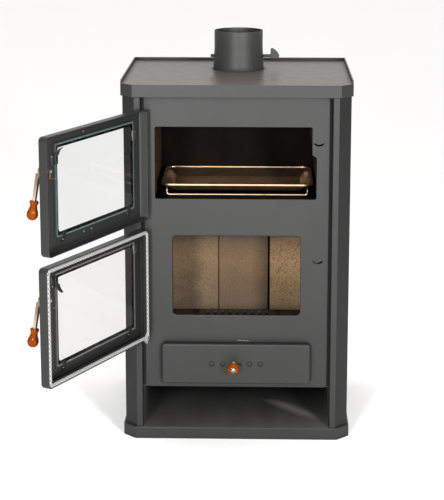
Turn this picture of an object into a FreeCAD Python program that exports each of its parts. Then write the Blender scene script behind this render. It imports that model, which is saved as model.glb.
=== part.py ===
import FreeCAD, Part
import math
import os
from collections import namedtuple
from FreeCAD import Vector

# A free-standing wood cookstove: wood store at the bottom, ash drawer, firebox with a
# glazed door, oven with a glazed door, cooking top with a hob lid and a flue collar.
# Millimetres. X is to the stove's left-to-right, Y runs from front to back, Z is up.
# The origin is the middle of the plinth's underside.

# Whole stove
TOP_WIDTH = 564.0
TOP_DEPTH = 460.0
TOP_HEIGHT = 895.0
CORNER_CUT = 30.0
BODY_INSET = 4.0
CASING_SHEET = 2.0

# Cooking top
TOP_SHEET = 4.0
APRON_HEIGHT = 30.0
APRON_SHEET = 3.0
RIM_HEIGHT = 8.0
TOP_EDGE_ROUND = 2.0

# Plinth and wood store
PLINTH_HEIGHT = 30.0
PLINTH_PROUD = 1.0
PLINTH_SHEET = 3.0
STORE_HEIGHT = 102.0
STORE_FLANGE = 32.0
STORE_FOOT = 16.0

# Side casing: front strips, folded returns and back flanges
STRIP_WIDTH = 16.0
RETURN_DEPTH = 22.0
BACK_FLANGE = 18.0
BACK_PANEL_LAP = 4.0
BEND_RADIUS = 1.5

# Front plate
FRONT_RECESS = 12.0
FRONT_GROOVE = 7.0
FRONT_SHEET = 4.0

# Inner body
INNER_SHEET = 3.0
INNER_GAP = 6.0
INNER_BACK_GAP = 30.0
ASH_HEIGHT = 119.0

# Oven
OVEN_TOP_DROP = 104.0
OVEN_HEIGHT = 179.0
OVEN_MARGIN_LEFT = 26.0
OVEN_MARGIN_RIGHT = 30.0
OVEN_STEP_OUT = 11.0
OVEN_STEP_RISE = 104.0
OVEN_STEP_SLOPE = 6.0
OVEN_CORNER = 5.0
OVEN_DEPTH = 322.0
OVEN_SHEET = 2.0
OVEN_FLOOR_DROP = 10.0
OVEN_ROOF_RISE = 11.0
OVEN_WALL_SET = 4.0

# Firebox
FIRE_MARGIN = 67.5
FIRE_SILL = 61.0
FIRE_CORNER = 10.0
FIRE_EDGE_ROUND = 1.8
BRICK = 30.0
BRICK_HEADROOM = 39.0
BRICK_LAP = 12.5
FIREBOX_DEPTH = 239.0
BRICK_SETBACK = 10.0
BRICK_BEVEL = 2.0
BACK_JOINT_LEFT = -51.0
BACK_JOINT_RIGHT = 81.0
JOINT_NARROW = 1.5
JOINT_WIDE = 5.0
RETAINER = 12.0

# Fire grate
GRATE_WIDTH = 200.0
GRATE_DEPTH = 150.0
GRATE_THICK = 12.0
GRATE_LIP = 10.0
GRATE_SETBACK = 62.0
GRATE_SLOTS = 9
GRATE_SLOT = 9.0
GRATE_SLOT_CORNER = 4.4
GRATE_BORDER = 14.0

# Doors
DOOR_MARGIN = 8.0
DOOR_DEPTH = 24.0
DOOR_SHEET = 2.0
DOOR_CORNER = 10.0
DOOR_EDGE_ROUND = 6.0
DOOR_STANDOFF = 3.0
DOOR_GAP = 25.0
OVEN_DOOR_OVER = 47.0
OVEN_DOOR_UNDER = 44.0
FIRE_DOOR_OVER = 23.0
FIRE_DOOR_RISE = 10.0
OVEN_DOOR_ANGLE = 116.0
FIRE_DOOR_ANGLE = 117.0
WINDOW_HINGE_MARGIN = 47.0
WINDOW_LATCH_MARGIN = 70.0
WINDOW_CORNER = 9.0
OVEN_WINDOW_OVER = 35.0
OVEN_WINDOW_UNDER = 43.0
FIRE_WINDOW_OVER = 37.0
FIRE_WINDOW_UNDER = 44.0
GLASS = 4.0
GLASS_LAP = 11.0

# Door hinges: lift-off pins on lugs, tubes on the doors
HINGE_OUT = 5.6
HINGE_FORWARD = 13.0
PIN_RADIUS = 2.5
PIN_CLEARANCE = 0.05
TUBE_RADIUS = 4.8
TUBE_HEIGHT = 30.0
LUG_THICK = 5.0
LUG_RADIUS = 4.6
HINGE_INSET = 36.0
LEAF = 3.0
REST_GAP = 0.3

# Glass clips and their screws
CLIP_WIDTH = 14.0
CLIP_SHEET = 1.5
CLIP_FOOT = 13.0
CLIP_SCREW = 7.8
CLIP_TONGUE = 9.0
SCREW_RADIUS = 3.2
SCREW_HEAD = 2.4

# Domed heads: the flat crown and the plain side, as shares of radius and height
DOME_CROWN = 0.65
DOME_SIDE = 0.45

# Rope seal of the fire door
ROPE = 9.0
ROPE_INSET = 7.0
ROPE_CLEARANCE = 0.4
CHANNEL_WIDTH = 10.0
CHANNEL_WALL = 1.2
CHANNEL_CORNER = 9.0
CHANNEL_INNER_CORNER = 3.0
ROPE_CORNER = 8.0

# Door handles and latches
SPINDLE_INSET = 17.0
SPINDLE_RADIUS = 3.5
SPINDLE_CLEARANCE = 0.06
SPINDLE_HEAD = 2.4
SPINDLE_HEAD_RADIUS = 5.0
LATCH_RADIUS = 15.0
OVEN_LATCH_DROP = 45.0
FIRE_LATCH_DROP = 68.0
LATCH_SLOT = 4.0
LATCH_SLOT_HALF_ANGLE = 42.0
LATCH_FINGER = 2.6
LATCH_PAST = 4.0
LATCH_ARM_SETBACK = 7.0
LATCH_ARM_WIDTH = 6.6
LATCH_ARM_SHEET = 3.0
STUD_RADIUS = 2.0
NUT_RADIUS = 3.5
NUT_HEIGHT = 3.2
LEVER_STANDOFF = 5.3
LEVER_DROP = 8.0
LEVER_LENGTH = 81.0
LEVER_WIDTH = 10.0
LEVER_END_WIDTH = 8.0
LEVER_THICKNESS = 8.0
LEVER_END_THICKNESS = 7.0
LEVER_EDGE = 1.2
LEVER_LEAN = 11.0
LEVER_BOSS = 7.5
BOSS_SHEET = 4.5
BOSS_STANDOFF = 2.5
GRIP_SOCKET = 9.0
# Radius and distance along the grip: its collar, its waist, then its bulb
GRIP_PROFILE = [(0.0, 0.0), (8.8, 0.0), (10.0, 1.4), (10.0, 5.6), (8.4, 7.6), (8.2, 10.5)]
GRIP_PROFILE += [(8.5, 14.0), (9.4, 18.0), (10.8, 22.0), (12.2, 26.5), (12.8, 31.0), (12.4, 35.0)]
GRIP_PROFILE += [(11.0, 38.6), (8.4, 41.8), (4.8, 43.9), (0.0, 44.5)]

# Ash drawer and air slider
DRAWER_MARGIN = 41.5
DRAWER_UNDER = 11.0
DRAWER_OVER = 5.0
DRAWER_PROUD = 20.0
DRAWER_CORNER = 8.0
DRAWER_EDGE_ROUND = 4.0
DRAWER_SHEET = 2.0
DRAWER_MOUTH_INSET = 8.0
PAN_CLEARANCE = 3.0
PAN_SHEET = 1.5
PAN_DEPTH = 300.0
PAN_FRONT_HEIGHT = 52.0
RUNNER_WIDTH = 22.0
AIR_HOLE_RISE = 52.0
AIR_HOLE_RADIUS = 6.0
AIR_HOLE_NEAR = 33.0
AIR_HOLE_FAR = 60.0
AIR_KNOB_X = -6.0
AIR_TRAVEL = 16.0
SLIDER_WIDTH = 170.0
SLIDER_HEIGHT = 30.0
SLIDER_SHEET = 1.5
SLIDER_CORNER = 1.5
SLIDER_HOLE_RADIUS = 5.0
GUIDE_LIP = 6.0
STEM_RADIUS = 3.0
STEM_LENGTH = 24.0
STEM_COLLAR_RADIUS = 6.0
STEM_COLLAR = 6.0
KNOB_RADIUS = 14.5
KNOB_LENGTH = 27.0
KNOB_TURNS = 12

# Flue collar and damper
FLUE_SETBACK = 166.0
FLUE_HEIGHT = 100.0
FLUE_BASE_RADIUS = 65.0
FLUE_RADIUS = 62.0
FLUE_BORE = 59.5
FLUE_SPIGOT = 45.0
DAMPER_RISE = 34.0
DAMPER_SHAFT_RADIUS = 4.0
DAMPER_SHAFT_CLEARANCE = 0.08
DAMPER_SHAFT_BEVEL = 0.8
DAMPER_DISC_RADIUS = 57.5
DAMPER_DISC_SHEET = 2.0
DAMPER_STUB = 7.0
DAMPER_REACH = 17.0
KEY_WIDTH = 23.0
KEY_RISE = 20.0
KEY_DROP = 7.0
KEY_SHEET = 3.5
KEY_TIP = 4.6
KEY_TIP_REACH = 7.4
KEY_BELLY = 18.4
KEY_BELLY_RISE = 9.0

# Hob lid
HOB_SETBACK = 95.0
HOB_RADIUS = 64.0
HOB_CLEARANCE = 0.35
HOB_LEDGE = 9.0
HOB_RING_LAP = 8.0
HOB_RING_SHEET = 4.0
HOB_REGISTER = 6.0
HOB_BEVEL = 0.8
HOB_NOTCH_LENGTH = 13.0
HOB_NOTCH_WIDTH = 7.0
HOB_NOTCH_CORNER = 3.2

# Roasting tray and the wire rack that carries it
RACK_WIRE = 4.0
RACK_BEND = 6.0
RACK_DEPTH = 200.0
TRAY_SIDE_GAP = 7.0
TRAY_DEPTH = 225.0
TRAY_RISE = 19.0
TRAY_FLARE = 28.0
TRAY_SHEET = 1.2
TRAY_RIM = 2.0
TRAY_RIM_HEIGHT = 4.0
TRAY_CORNER = 22.0
TRAY_SETBACK = 74.0
TRAY_SILL_GAP = 0.6

# Planes that several pieces share
TOP_X = TOP_WIDTH / 2
TOP_Y = TOP_DEPTH / 2
TOP_UNDER = TOP_HEIGHT - TOP_SHEET
BODY_X = TOP_X - BODY_INSET
BODY_Y = TOP_Y - BODY_INSET
STRIP_IN = BODY_X - CORNER_CUT - STRIP_WIDTH
FRONT_Y = -BODY_Y + FRONT_RECESS
FRONT_BACK = FRONT_Y + FRONT_SHEET
FRONT_X = STRIP_IN - FRONT_GROOVE
STORE_TOP = PLINTH_HEIGHT + STORE_HEIGHT
FRONT_BOTTOM = STORE_TOP + INNER_SHEET
INNER_X = FRONT_X - INNER_GAP
INNER_IN = INNER_X - INNER_SHEET
INNER_BACK = BODY_Y - 2 * CASING_SHEET - INNER_BACK_GAP
FIREBOX_FLOOR_Z = FRONT_BOTTOM + ASH_HEIGHT
FIREBOX_FLOOR_TOP = FIREBOX_FLOOR_Z + INNER_SHEET
FLUE_Y = TOP_Y - FLUE_SETBACK
HOB_Y = -TOP_Y + HOB_SETBACK
DAMPER_Z = TOP_HEIGHT + DAMPER_RISE

# The oven opening hangs from the top, the fire opening fills what is left above the ash drawer
OVEN_LEFT = -FRONT_X + OVEN_MARGIN_LEFT
OVEN_RIGHT = FRONT_X - OVEN_MARGIN_RIGHT
OVEN_TOP = TOP_HEIGHT - OVEN_TOP_DROP
OVEN_BOTTOM = OVEN_TOP - OVEN_HEIGHT
OVEN_STEP_LOW = OVEN_BOTTOM + OVEN_STEP_RISE
OVEN_STEP_HIGH = OVEN_STEP_LOW + OVEN_STEP_SLOPE
OVEN_FLOOR_TOP = OVEN_BOTTOM - OVEN_FLOOR_DROP
OVEN_ROOF = OVEN_TOP + OVEN_ROOF_RISE
OVEN_BACK = FRONT_BACK + OVEN_DEPTH
OVEN_WALL_LEFT = OVEN_LEFT - OVEN_WALL_SET
OVEN_DOOR_TOP = OVEN_TOP + OVEN_DOOR_OVER
OVEN_DOOR_BOTTOM = OVEN_BOTTOM - OVEN_DOOR_UNDER
FIRE_DOOR_TOP = OVEN_DOOR_BOTTOM - DOOR_GAP
FIRE_DOOR_BOTTOM = FIREBOX_FLOOR_Z + FIRE_DOOR_RISE
FIRE_X = FRONT_X - FIRE_MARGIN
FIRE_TOP = FIRE_DOOR_TOP - FIRE_DOOR_OVER
FIRE_BOTTOM = FIREBOX_FLOOR_TOP + FIRE_SILL
BRICK_TOP = OVEN_FLOOR_TOP - INNER_SHEET - BRICK_HEADROOM
BRICK_IN = FIRE_X + BRICK_LAP
BRICK_OUT = BRICK_IN + BRICK
BRICK_FRONT = FRONT_BACK + BRICK_SETBACK
BRICK_BACK = BRICK_FRONT + FIREBOX_DEPTH

# Planes of the doors when they are shut
DOOR_X = FRONT_X - DOOR_MARGIN
DOOR_BACK = FRONT_Y - DOOR_STANDOFF
DOOR_FRONT = DOOR_BACK - DOOR_DEPTH
DOOR_INSIDE = DOOR_FRONT + DOOR_SHEET
HINGE_X = -DOOR_X - HINGE_OUT
HINGE_Y = DOOR_BACK - HINGE_FORWARD
WINDOW_LEFT = -DOOR_X + WINDOW_HINGE_MARGIN
WINDOW_RIGHT = DOOR_X - WINDOW_LATCH_MARGIN
SPINDLE_X = DOOR_X - SPINDLE_INSET

# Planes of the ash drawer
DRAWER_X = FRONT_X - DRAWER_MARGIN
DRAWER_BOTTOM = FRONT_BOTTOM + DRAWER_UNDER
DRAWER_TOP = FIREBOX_FLOOR_Z - DRAWER_OVER
DRAWER_BACK = FRONT_Y - REST_GAP
DRAWER_FRONT = FRONT_Y - DRAWER_PROUD
DRAWER_INSIDE = DRAWER_FRONT + DRAWER_SHEET
MOUTH_X = DRAWER_X - DRAWER_MOUTH_INSET
MOUTH_BOTTOM = DRAWER_BOTTOM + DRAWER_MOUTH_INSET / 2
MOUTH_TOP = DRAWER_TOP - DRAWER_MOUTH_INSET
PAN_X = MOUTH_X - PAN_CLEARANCE
PAN_BOTTOM = MOUTH_BOTTOM + PAN_CLEARANCE
PAN_TOP = MOUTH_TOP - PAN_CLEARANCE
AIR_HOLE_Z = DRAWER_BOTTOM + AIR_HOLE_RISE

# What differs between the two doors: the latch level is that of the slot's lowest point
Door = namedtuple("Door", "name bottom top window_bottom window_top latch_z angle")
OVEN_DOOR = Door("oven", OVEN_DOOR_BOTTOM, OVEN_DOOR_TOP, OVEN_DOOR_BOTTOM + OVEN_WINDOW_UNDER,
                 OVEN_DOOR_TOP - OVEN_WINDOW_OVER, OVEN_TOP - OVEN_LATCH_DROP, OVEN_DOOR_ANGLE)
FIRE_DOOR = Door("fire", FIRE_DOOR_BOTTOM, FIRE_DOOR_TOP, FIRE_DOOR_BOTTOM + FIRE_WINDOW_UNDER,
                 FIRE_DOOR_TOP - FIRE_WINDOW_OVER, FIRE_TOP - FIRE_LATCH_DROP, FIRE_DOOR_ANGLE)
DOORS = [OVEN_DOOR, FIRE_DOOR]

# Slack for picking edges by where they lie
NEAR = 0.1

LEFT = -1
RIGHT = 1
UP = Vector(0, 0, 1)
BACKWARD = Vector(0, 1, 0)
RIGHTWARD = Vector(1, 0, 0)


def block(x0, x1, y0, y1, z0, z1):
    """A plain flat plate or bar between two corners."""
    low = Vector(min(x0, x1), min(y0, y1), min(z0, z1))
    return Part.makeBox(abs(x1 - x0), abs(y1 - y0), abs(z1 - z0), low)


def rod(radius, start, direction, length):
    return Part.makeCylinder(radius, length, start, direction)


def rounded_path(points, radii, closed=False):
    """Edges through the points, each corner rounded by its radius (0 keeps it sharp)."""
    count = len(points)
    arcs = []
    for index in range(count):
        at = points[index]
        open_end = not closed and index in (0, count - 1)
        if open_end or radii[index] == 0:
            arcs.append((at, None, at))
            continue
        to_last = (points[index - 1] - at).normalize()
        to_next = (points[(index + 1) % count] - at).normalize()
        half = to_last.getAngle(to_next) / 2
        inward = (to_last + to_next).normalize()
        reach = radii[index] / math.tan(half)
        middle = at + inward * (radii[index] / math.sin(half) - radii[index])
        arcs.append((at + to_last * reach, middle, at + to_next * reach))
    edges = []
    for index, (start, middle, end) in enumerate(arcs):
        if middle is not None:
            edges.append(Part.Arc(start, middle, end).toShape())
        if index + 1 < count or closed:
            following = arcs[(index + 1) % count][0]
            if end.distanceToPoint(following) > 1e-6:
                edges.append(Part.LineSegment(end, following).toShape())
    return edges


def rounded_outline(points, radius):
    return Part.Wire(rounded_path(points, [radius] * len(points), closed=True))


def rectangle_xz(x0, x1, z0, z1, y, radius=0.0):
    corners = [Vector(x0, y, z0), Vector(x1, y, z0), Vector(x1, y, z1), Vector(x0, y, z1)]
    return rounded_outline(corners, radius)


def rectangle_xy(x0, x1, y0, y1, z, radius=0.0):
    corners = [Vector(x0, y0, z), Vector(x1, y0, z), Vector(x1, y1, z), Vector(x0, y1, z)]
    return rounded_outline(corners, radius)


def plate(outline, travel, holes=()):
    """A sheet: one outline, extruded, with other outlines cut through it."""
    solid = Part.Face(outline).extrude(travel)
    for hole in holes:
        solid = solid.cut(Part.Face(hole).extrude(travel))
    return solid


def folded_sheet(points, sheet, travel, bend=BEND_RADIUS):
    """A sheet folded along a path of points and extruded; it lies to the path's left."""
    normal = Vector(travel).normalize()
    sides = []
    for index in range(len(points) - 1):
        along = (points[index + 1] - points[index]).normalize()
        sides.append(normal.cross(along).normalize())
    inner = []
    near_radii = []
    far_radii = []
    for index, point in enumerate(points):
        before = sides[max(index - 1, 0)]
        after = sides[min(index, len(sides) - 1)]
        inner.append(point + (before + after) * (sheet / (1 + before.dot(after))))
        turn = before.cross(after).dot(normal)
        near_radii.append(bend if turn < 0 else bend + sheet)
        far_radii.append(bend + sheet if turn < 0 else bend)
    for radii in (near_radii, far_radii):
        radii[0] = 0
        radii[-1] = 0
    outside = rounded_path(points, near_radii)
    inside = rounded_path(inner[::-1], far_radii[::-1])
    caps = [Part.LineSegment(points[-1], inner[-1]).toShape()]
    caps.append(Part.LineSegment(inner[0], points[0]).toShape())
    wire = Part.Wire(Part.__sortEdges__(outside + inside + caps))
    return Part.Face(wire).extrude(travel)


def pressed_pan(x0, x1, z0, z1, front, back, corner, edge, sheet):
    """A tray pressed from one sheet: a face at the front, a rounded edge, a rim to the back."""
    def body(inset, face):
        outline = rectangle_xz(x0 + inset, x1 - inset, z0 + inset, z1 - inset, face, corner - inset)
        solid = plate(outline, Vector(0, back - face, 0))
        rim = [e for e in solid.Edges if all(abs(v.Y - face) < 1e-6 for v in e.Vertexes)]
        return solid.makeFillet(edge - inset, rim)
    return body(0, front).cut(body(sheet, front + sheet))


def turned(profile, origin, axis):
    """A solid of revolution about an axis from a closed outline of (radius, height) points."""
    side = axis.cross(UP)
    if side.Length < 1e-6:
        side = Vector(RIGHTWARD)
    side.normalize()
    points = [origin + side * r + axis * h for r, h in profile]
    wire = Part.makePolygon(points + points[:1])
    return Part.Face(wire).revolve(origin, axis, 360)


def round_bar(edges, radius):
    """A round bar along a path of straight runs and arcs."""
    path = Part.Wire(edges)
    start = path.Edges[0].valueAt(path.Edges[0].FirstParameter)
    along = path.Edges[0].tangentAt(path.Edges[0].FirstParameter)
    section = Part.Wire(Part.makeCircle(radius, start, along))
    return path.makePipeShell([section], True, False)


def fuse(shapes):
    whole = shapes[0].multiFuse(shapes[1:])
    return whole.removeSplitter()


def stove_outline(half_x, half_y, cut, z):
    """The plan shared by top and plinth: square at the back, corners cut at the front."""
    points = [Vector(-half_x, half_y, z), Vector(-half_x, -half_y + cut, z)]
    points += [Vector(-half_x + cut, -half_y, z), Vector(half_x - cut, -half_y, z)]
    points += [Vector(half_x, -half_y + cut, z), Vector(half_x, half_y, z)]
    return Part.makePolygon(points + points[:1])


def inset_cut(cut, inset):
    """The corner cut of an outline that is drawn in by an even sheet thickness."""
    return cut - inset * (2 - math.sqrt(2))


def base_plinth():
    """A tray folded down round its edge; its top is the floor of the wood store."""
    half_x = TOP_X + PLINTH_PROUD
    cut = CORNER_CUT + PLINTH_PROUD
    tray = plate(stove_outline(half_x, TOP_Y, cut, 0), UP * PLINTH_HEIGHT)
    inside = stove_outline(half_x - PLINTH_SHEET, TOP_Y - PLINTH_SHEET, inset_cut(cut, PLINTH_SHEET), 0)
    tray = tray.cut(plate(inside, UP * (PLINTH_HEIGHT - PLINTH_SHEET)))
    upper = [e for e in tray.Edges if all(abs(v.Z - PLINTH_HEIGHT) < 1e-6 for v in e.Vertexes)]
    return tray.makeFillet(TOP_EDGE_ROUND, upper)


def side_panel(side):
    """One side casing: back flange, side, cut corner, front strip and its return."""
    plan = [(BODY_X - BACK_FLANGE, BODY_Y), (BODY_X, BODY_Y), (BODY_X, -BODY_Y + CORNER_CUT)]
    plan += [(BODY_X - CORNER_CUT, -BODY_Y), (STRIP_IN, -BODY_Y), (STRIP_IN, -BODY_Y + RETURN_DEPTH)]
    points = [Vector(side * x, y, PLINTH_HEIGHT) for x, y in plan]
    if side == RIGHT:
        points = points[::-1]
    return folded_sheet(points, CASING_SHEET, UP * (TOP_UNDER - PLINTH_HEIGHT))


def back_panel():
    half = BODY_X - BACK_FLANGE + BACK_PANEL_LAP
    inner_face = BODY_Y - 2 * CASING_SHEET
    return block(-half, half, inner_face, inner_face + CASING_SHEET, PLINTH_HEIGHT, TOP_UNDER)


def store_side(side):
    """A side wall of the wood store, flanged to stand on the plinth and carry the inner body."""
    web = STRIP_IN + CASING_SHEET
    foot = PLINTH_HEIGHT + CASING_SHEET
    plan = [(STRIP_IN - STORE_FLANGE, STORE_TOP), (web, STORE_TOP)]
    plan += [(web, foot), (web + STORE_FOOT, foot)]
    start = -BODY_Y + RETURN_DEPTH
    points = [Vector(side * x, start, z) for x, z in plan]
    length = BODY_Y - 2 * CASING_SHEET - start
    if side == LEFT:
        points = points[::-1]
    return folded_sheet(points, CASING_SHEET, BACKWARD * length)


def top_plate():
    """The cooking plate with its apron, its raised rim, the flue hole and the hob hole."""
    skin = plate(stove_outline(TOP_X, TOP_Y, CORNER_CUT, TOP_HEIGHT - APRON_HEIGHT), UP * APRON_HEIGHT)
    upper = [e for e in skin.Edges if all(abs(v.Z - TOP_HEIGHT) < 1e-6 for v in e.Vertexes)]
    front = [e for e in upper if e.CenterOfMass.y < -TOP_Y + CORNER_CUT]
    skin = skin.makeFillet(TOP_EDGE_ROUND, front)
    cut = inset_cut(CORNER_CUT, APRON_SHEET)
    half_x = TOP_X - APRON_SHEET
    half_y = TOP_Y - APRON_SHEET
    inner_plan = stove_outline(half_x, half_y, cut, TOP_HEIGHT - APRON_HEIGHT)
    hollow = plate(inner_plan, UP * (APRON_HEIGHT - TOP_SHEET))
    rim_start = -TOP_Y + CORNER_CUT
    rim_top = TOP_HEIGHT + RIM_HEIGHT
    rim = block(-TOP_X, TOP_X, rim_start, TOP_Y, TOP_UNDER, rim_top)
    rim = rim.cut(block(-half_x, half_x, -TOP_Y, half_y, TOP_UNDER, rim_top))
    slope = [Vector(-TOP_X, rim_start, TOP_HEIGHT), Vector(-TOP_X, rim_start + RIM_HEIGHT, rim_top)]
    slope.append(Vector(-TOP_X, rim_start, rim_top))
    rim = rim.cut(plate(Part.makePolygon(slope + slope[:1]), RIGHTWARD * TOP_WIDTH))
    flue = rod(FLUE_BORE, Vector(0, FLUE_Y, TOP_UNDER), UP, TOP_SHEET)
    hob = rod(HOB_RADIUS + HOB_CLEARANCE, Vector(0, HOB_Y, TOP_UNDER), UP, TOP_SHEET)
    return fuse([skin.cut(hollow), rim]).cut(flue).cut(hob)


def hob_ring():
    """The ledge under the cooking plate that carries the hob lid."""
    under = Vector(0, HOB_Y, TOP_UNDER - HOB_RING_SHEET)
    outside = rod(HOB_RADIUS + HOB_RING_LAP, under, UP, HOB_RING_SHEET)
    return outside.cut(rod(HOB_RADIUS - HOB_LEDGE, under, UP, HOB_RING_SHEET))


def hob_lid():
    """A cast lid, flush with the plate, with a register below and a notch for the lifter."""
    seat = TOP_UNDER + REST_GAP - TOP_HEIGHT
    register = HOB_RADIUS - HOB_LEDGE - 2 * HOB_CLEARANCE
    low = seat - HOB_REGISTER
    profile = [(0, low), (register - HOB_BEVEL, low), (register, low + HOB_BEVEL), (register, seat)]
    profile += [(HOB_RADIUS, seat), (HOB_RADIUS, -HOB_BEVEL), (HOB_RADIUS - HOB_BEVEL, 0), (0, 0)]
    lid = turned(profile, Vector(0, HOB_Y, TOP_HEIGHT), UP)
    outer = HOB_RADIUS - HOB_RING_LAP / 2
    half = HOB_NOTCH_WIDTH / 2
    depth = TOP_SHEET / 2
    inner = outer - HOB_NOTCH_LENGTH
    notch = rectangle_xy(inner, outer, HOB_Y - half, HOB_Y + half, TOP_HEIGHT - depth, HOB_NOTCH_CORNER)
    return lid.cut(plate(notch, UP * depth))


def flue_collar():
    """A cast collar: a tapering foot and a straight spigot for the flue pipe."""
    taper_top = FLUE_HEIGHT - FLUE_SPIGOT
    profile = [(FLUE_BORE, 0), (FLUE_BASE_RADIUS, 0), (FLUE_RADIUS, taper_top)]
    profile += [(FLUE_RADIUS, FLUE_HEIGHT), (FLUE_BORE, FLUE_HEIGHT)]
    collar = turned(profile, Vector(0, FLUE_Y, TOP_HEIGHT), UP)
    bore = DAMPER_SHAFT_RADIUS + DAMPER_SHAFT_CLEARANCE
    through = rod(bore, Vector(-2 * FLUE_BASE_RADIUS, FLUE_Y, DAMPER_Z), RIGHTWARD, 4 * FLUE_BASE_RADIUS)
    return collar.cut(through)


def damper_shaft():
    start = -FLUE_BASE_RADIUS - DAMPER_STUB
    length = FLUE_BASE_RADIUS + DAMPER_REACH - start
    shaft = rod(DAMPER_SHAFT_RADIUS, Vector(start, FLUE_Y, DAMPER_Z), RIGHTWARD, length)
    return shaft.makeChamfer(DAMPER_SHAFT_BEVEL, [e for e in shaft.Edges if len(e.Vertexes) == 1])


def damper_disc():
    """The flap in the flue, bolted to the side of its shaft."""
    face = FLUE_Y + DAMPER_SHAFT_RADIUS
    return rod(DAMPER_DISC_RADIUS, Vector(0, face, DAMPER_Z), BACKWARD, DAMPER_DISC_SHEET)


def damper_key():
    """The finger plate on the shaft's end: upright inner edge, blunt tip, curved back."""
    x0 = FLUE_BASE_RADIUS + DAMPER_REACH
    x1 = x0 + KEY_WIDTH
    y = FLUE_Y - KEY_SHEET / 2
    low = DAMPER_Z - KEY_DROP
    high = DAMPER_Z + KEY_RISE
    upright = Vector(x0, y, high - KEY_TIP)
    crown = Vector(x0 + KEY_TIP / 2, y, high - KEY_TIP / 8)
    shoulder = Vector(x0 + KEY_TIP_REACH, y, high - KEY_TIP / 3)
    belly = Vector(x0 + KEY_BELLY, y, DAMPER_Z + KEY_BELLY_RISE)
    heel = Vector(x1, y, DAMPER_Z)
    foot = [heel, Vector(x1 - KEY_TIP / 2, y, low), Vector(x0, y, low), upright]
    edges = [Part.Arc(upright, crown, shoulder).toShape(), Part.Arc(shoulder, belly, heel).toShape()]
    edges += [Part.LineSegment(a, b).toShape() for a, b in zip(foot, foot[1:])]
    return plate(Part.Wire(edges), BACKWARD * KEY_SHEET)


def spindle_at(door, y):
    return Vector(SPINDLE_X, y, door.latch_z + LATCH_RADIUS)


def latch_slot(door, y):
    """A slot bent round the handle's spindle, for the latch finger."""
    centre = spindle_at(door, y)
    half = math.radians(LATCH_SLOT_HALF_ANGLE)

    def at(radius, angle):
        return centre + Vector(radius * math.sin(angle), 0, -radius * math.cos(angle))

    inner = LATCH_RADIUS - LATCH_SLOT / 2
    outer = LATCH_RADIUS + LATCH_SLOT / 2
    cap = half + LATCH_SLOT / 2 / LATCH_RADIUS
    edges = [Part.Arc(at(outer, -half), at(outer, 0), at(outer, half)).toShape()]
    edges.append(Part.Arc(at(outer, half), at(LATCH_RADIUS, cap), at(inner, half)).toShape())
    edges.append(Part.Arc(at(inner, half), at(inner, 0), at(inner, -half)).toShape())
    edges.append(Part.Arc(at(inner, -half), at(LATCH_RADIUS, -cap), at(outer, -half)).toShape())
    return Part.Wire(edges)


def oven_mouth(y):
    """The oven opening: its right edge steps in above the tray, beside the latch."""
    inner = OVEN_RIGHT - OVEN_STEP_OUT
    points = [Vector(OVEN_LEFT, y, OVEN_BOTTOM), Vector(OVEN_RIGHT, y, OVEN_BOTTOM)]
    points += [Vector(OVEN_RIGHT, y, OVEN_STEP_LOW), Vector(inner, y, OVEN_STEP_HIGH)]
    points += [Vector(inner, y, OVEN_TOP), Vector(OVEN_LEFT, y, OVEN_TOP)]
    radii = [OVEN_CORNER, OVEN_CORNER, OVEN_CORNER / 2, OVEN_CORNER / 2, OVEN_CORNER, OVEN_CORNER]
    return Part.Wire(rounded_path(points, radii, closed=True))


def front_plate():
    """The front: oven, fire and ash openings, and a latch slot for each door."""
    outline = rectangle_xz(-FRONT_X, FRONT_X, FRONT_BOTTOM, TOP_UNDER, FRONT_Y)
    fire = rectangle_xz(-FIRE_X, FIRE_X, FIRE_BOTTOM, FIRE_TOP, FRONT_Y, FIRE_CORNER)
    mouth = rectangle_xz(-MOUTH_X, MOUTH_X, MOUTH_BOTTOM, MOUTH_TOP, FRONT_Y, PAN_CLEARANCE)
    holes = [fire, mouth, oven_mouth(FRONT_Y)]
    holes += [latch_slot(door, FRONT_Y) for door in DOORS]
    sheet = plate(outline, BACKWARD * FRONT_SHEET, holes)

    def round_fire(edge):
        box = edge.BoundBox
        in_plane = abs(box.YMin - FRONT_Y) < 1e-6 and abs(box.YMax - FRONT_Y) < 1e-6
        across = max(abs(box.XMin), abs(box.XMax)) < FIRE_X + NEAR
        return in_plane and across and box.ZMin > FIRE_BOTTOM - NEAR and box.ZMax < FIRE_TOP + NEAR

    return sheet.makeFillet(FIRE_EDGE_ROUND, [e for e in sheet.Edges if round_fire(e)])


def ash_floor():
    """The bottom of the inner body, carried by the walls of the wood store."""
    return block(-INNER_X, INNER_X, FRONT_Y, INNER_BACK + INNER_SHEET, STORE_TOP, FRONT_BOTTOM)


def inner_side(side):
    """An inner side wall, flanged out at the front to close the groove beside the front plate."""
    back = INNER_BACK + INNER_SHEET
    web = block(side * INNER_IN, side * INNER_X, FRONT_BACK, back, FRONT_BOTTOM, TOP_UNDER)
    reach = STRIP_IN - REST_GAP
    front = FRONT_BACK + INNER_SHEET
    flange = block(side * INNER_IN, side * reach, FRONT_BACK, front, FRONT_BOTTOM, TOP_UNDER)
    return fuse([web, flange])


def inner_back():
    return block(-INNER_IN, INNER_IN, INNER_BACK, INNER_BACK + INNER_SHEET, FRONT_BOTTOM, TOP_UNDER)


def grate_front():
    return FRONT_BACK + GRATE_SETBACK


def firebox_floor():
    """The plate under the fire, with a hole that the grate covers."""
    outline = rectangle_xy(-INNER_IN, INNER_IN, FRONT_BACK, INNER_BACK, FIREBOX_FLOOR_Z)
    half = GRATE_WIDTH / 2 - GRATE_LIP
    front = grate_front() + GRATE_LIP
    back = grate_front() + GRATE_DEPTH - GRATE_LIP
    hole = rectangle_xy(-half, half, front, back, FIREBOX_FLOOR_Z, GRATE_LIP / 2)
    return plate(outline, UP * INNER_SHEET, [hole])


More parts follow.
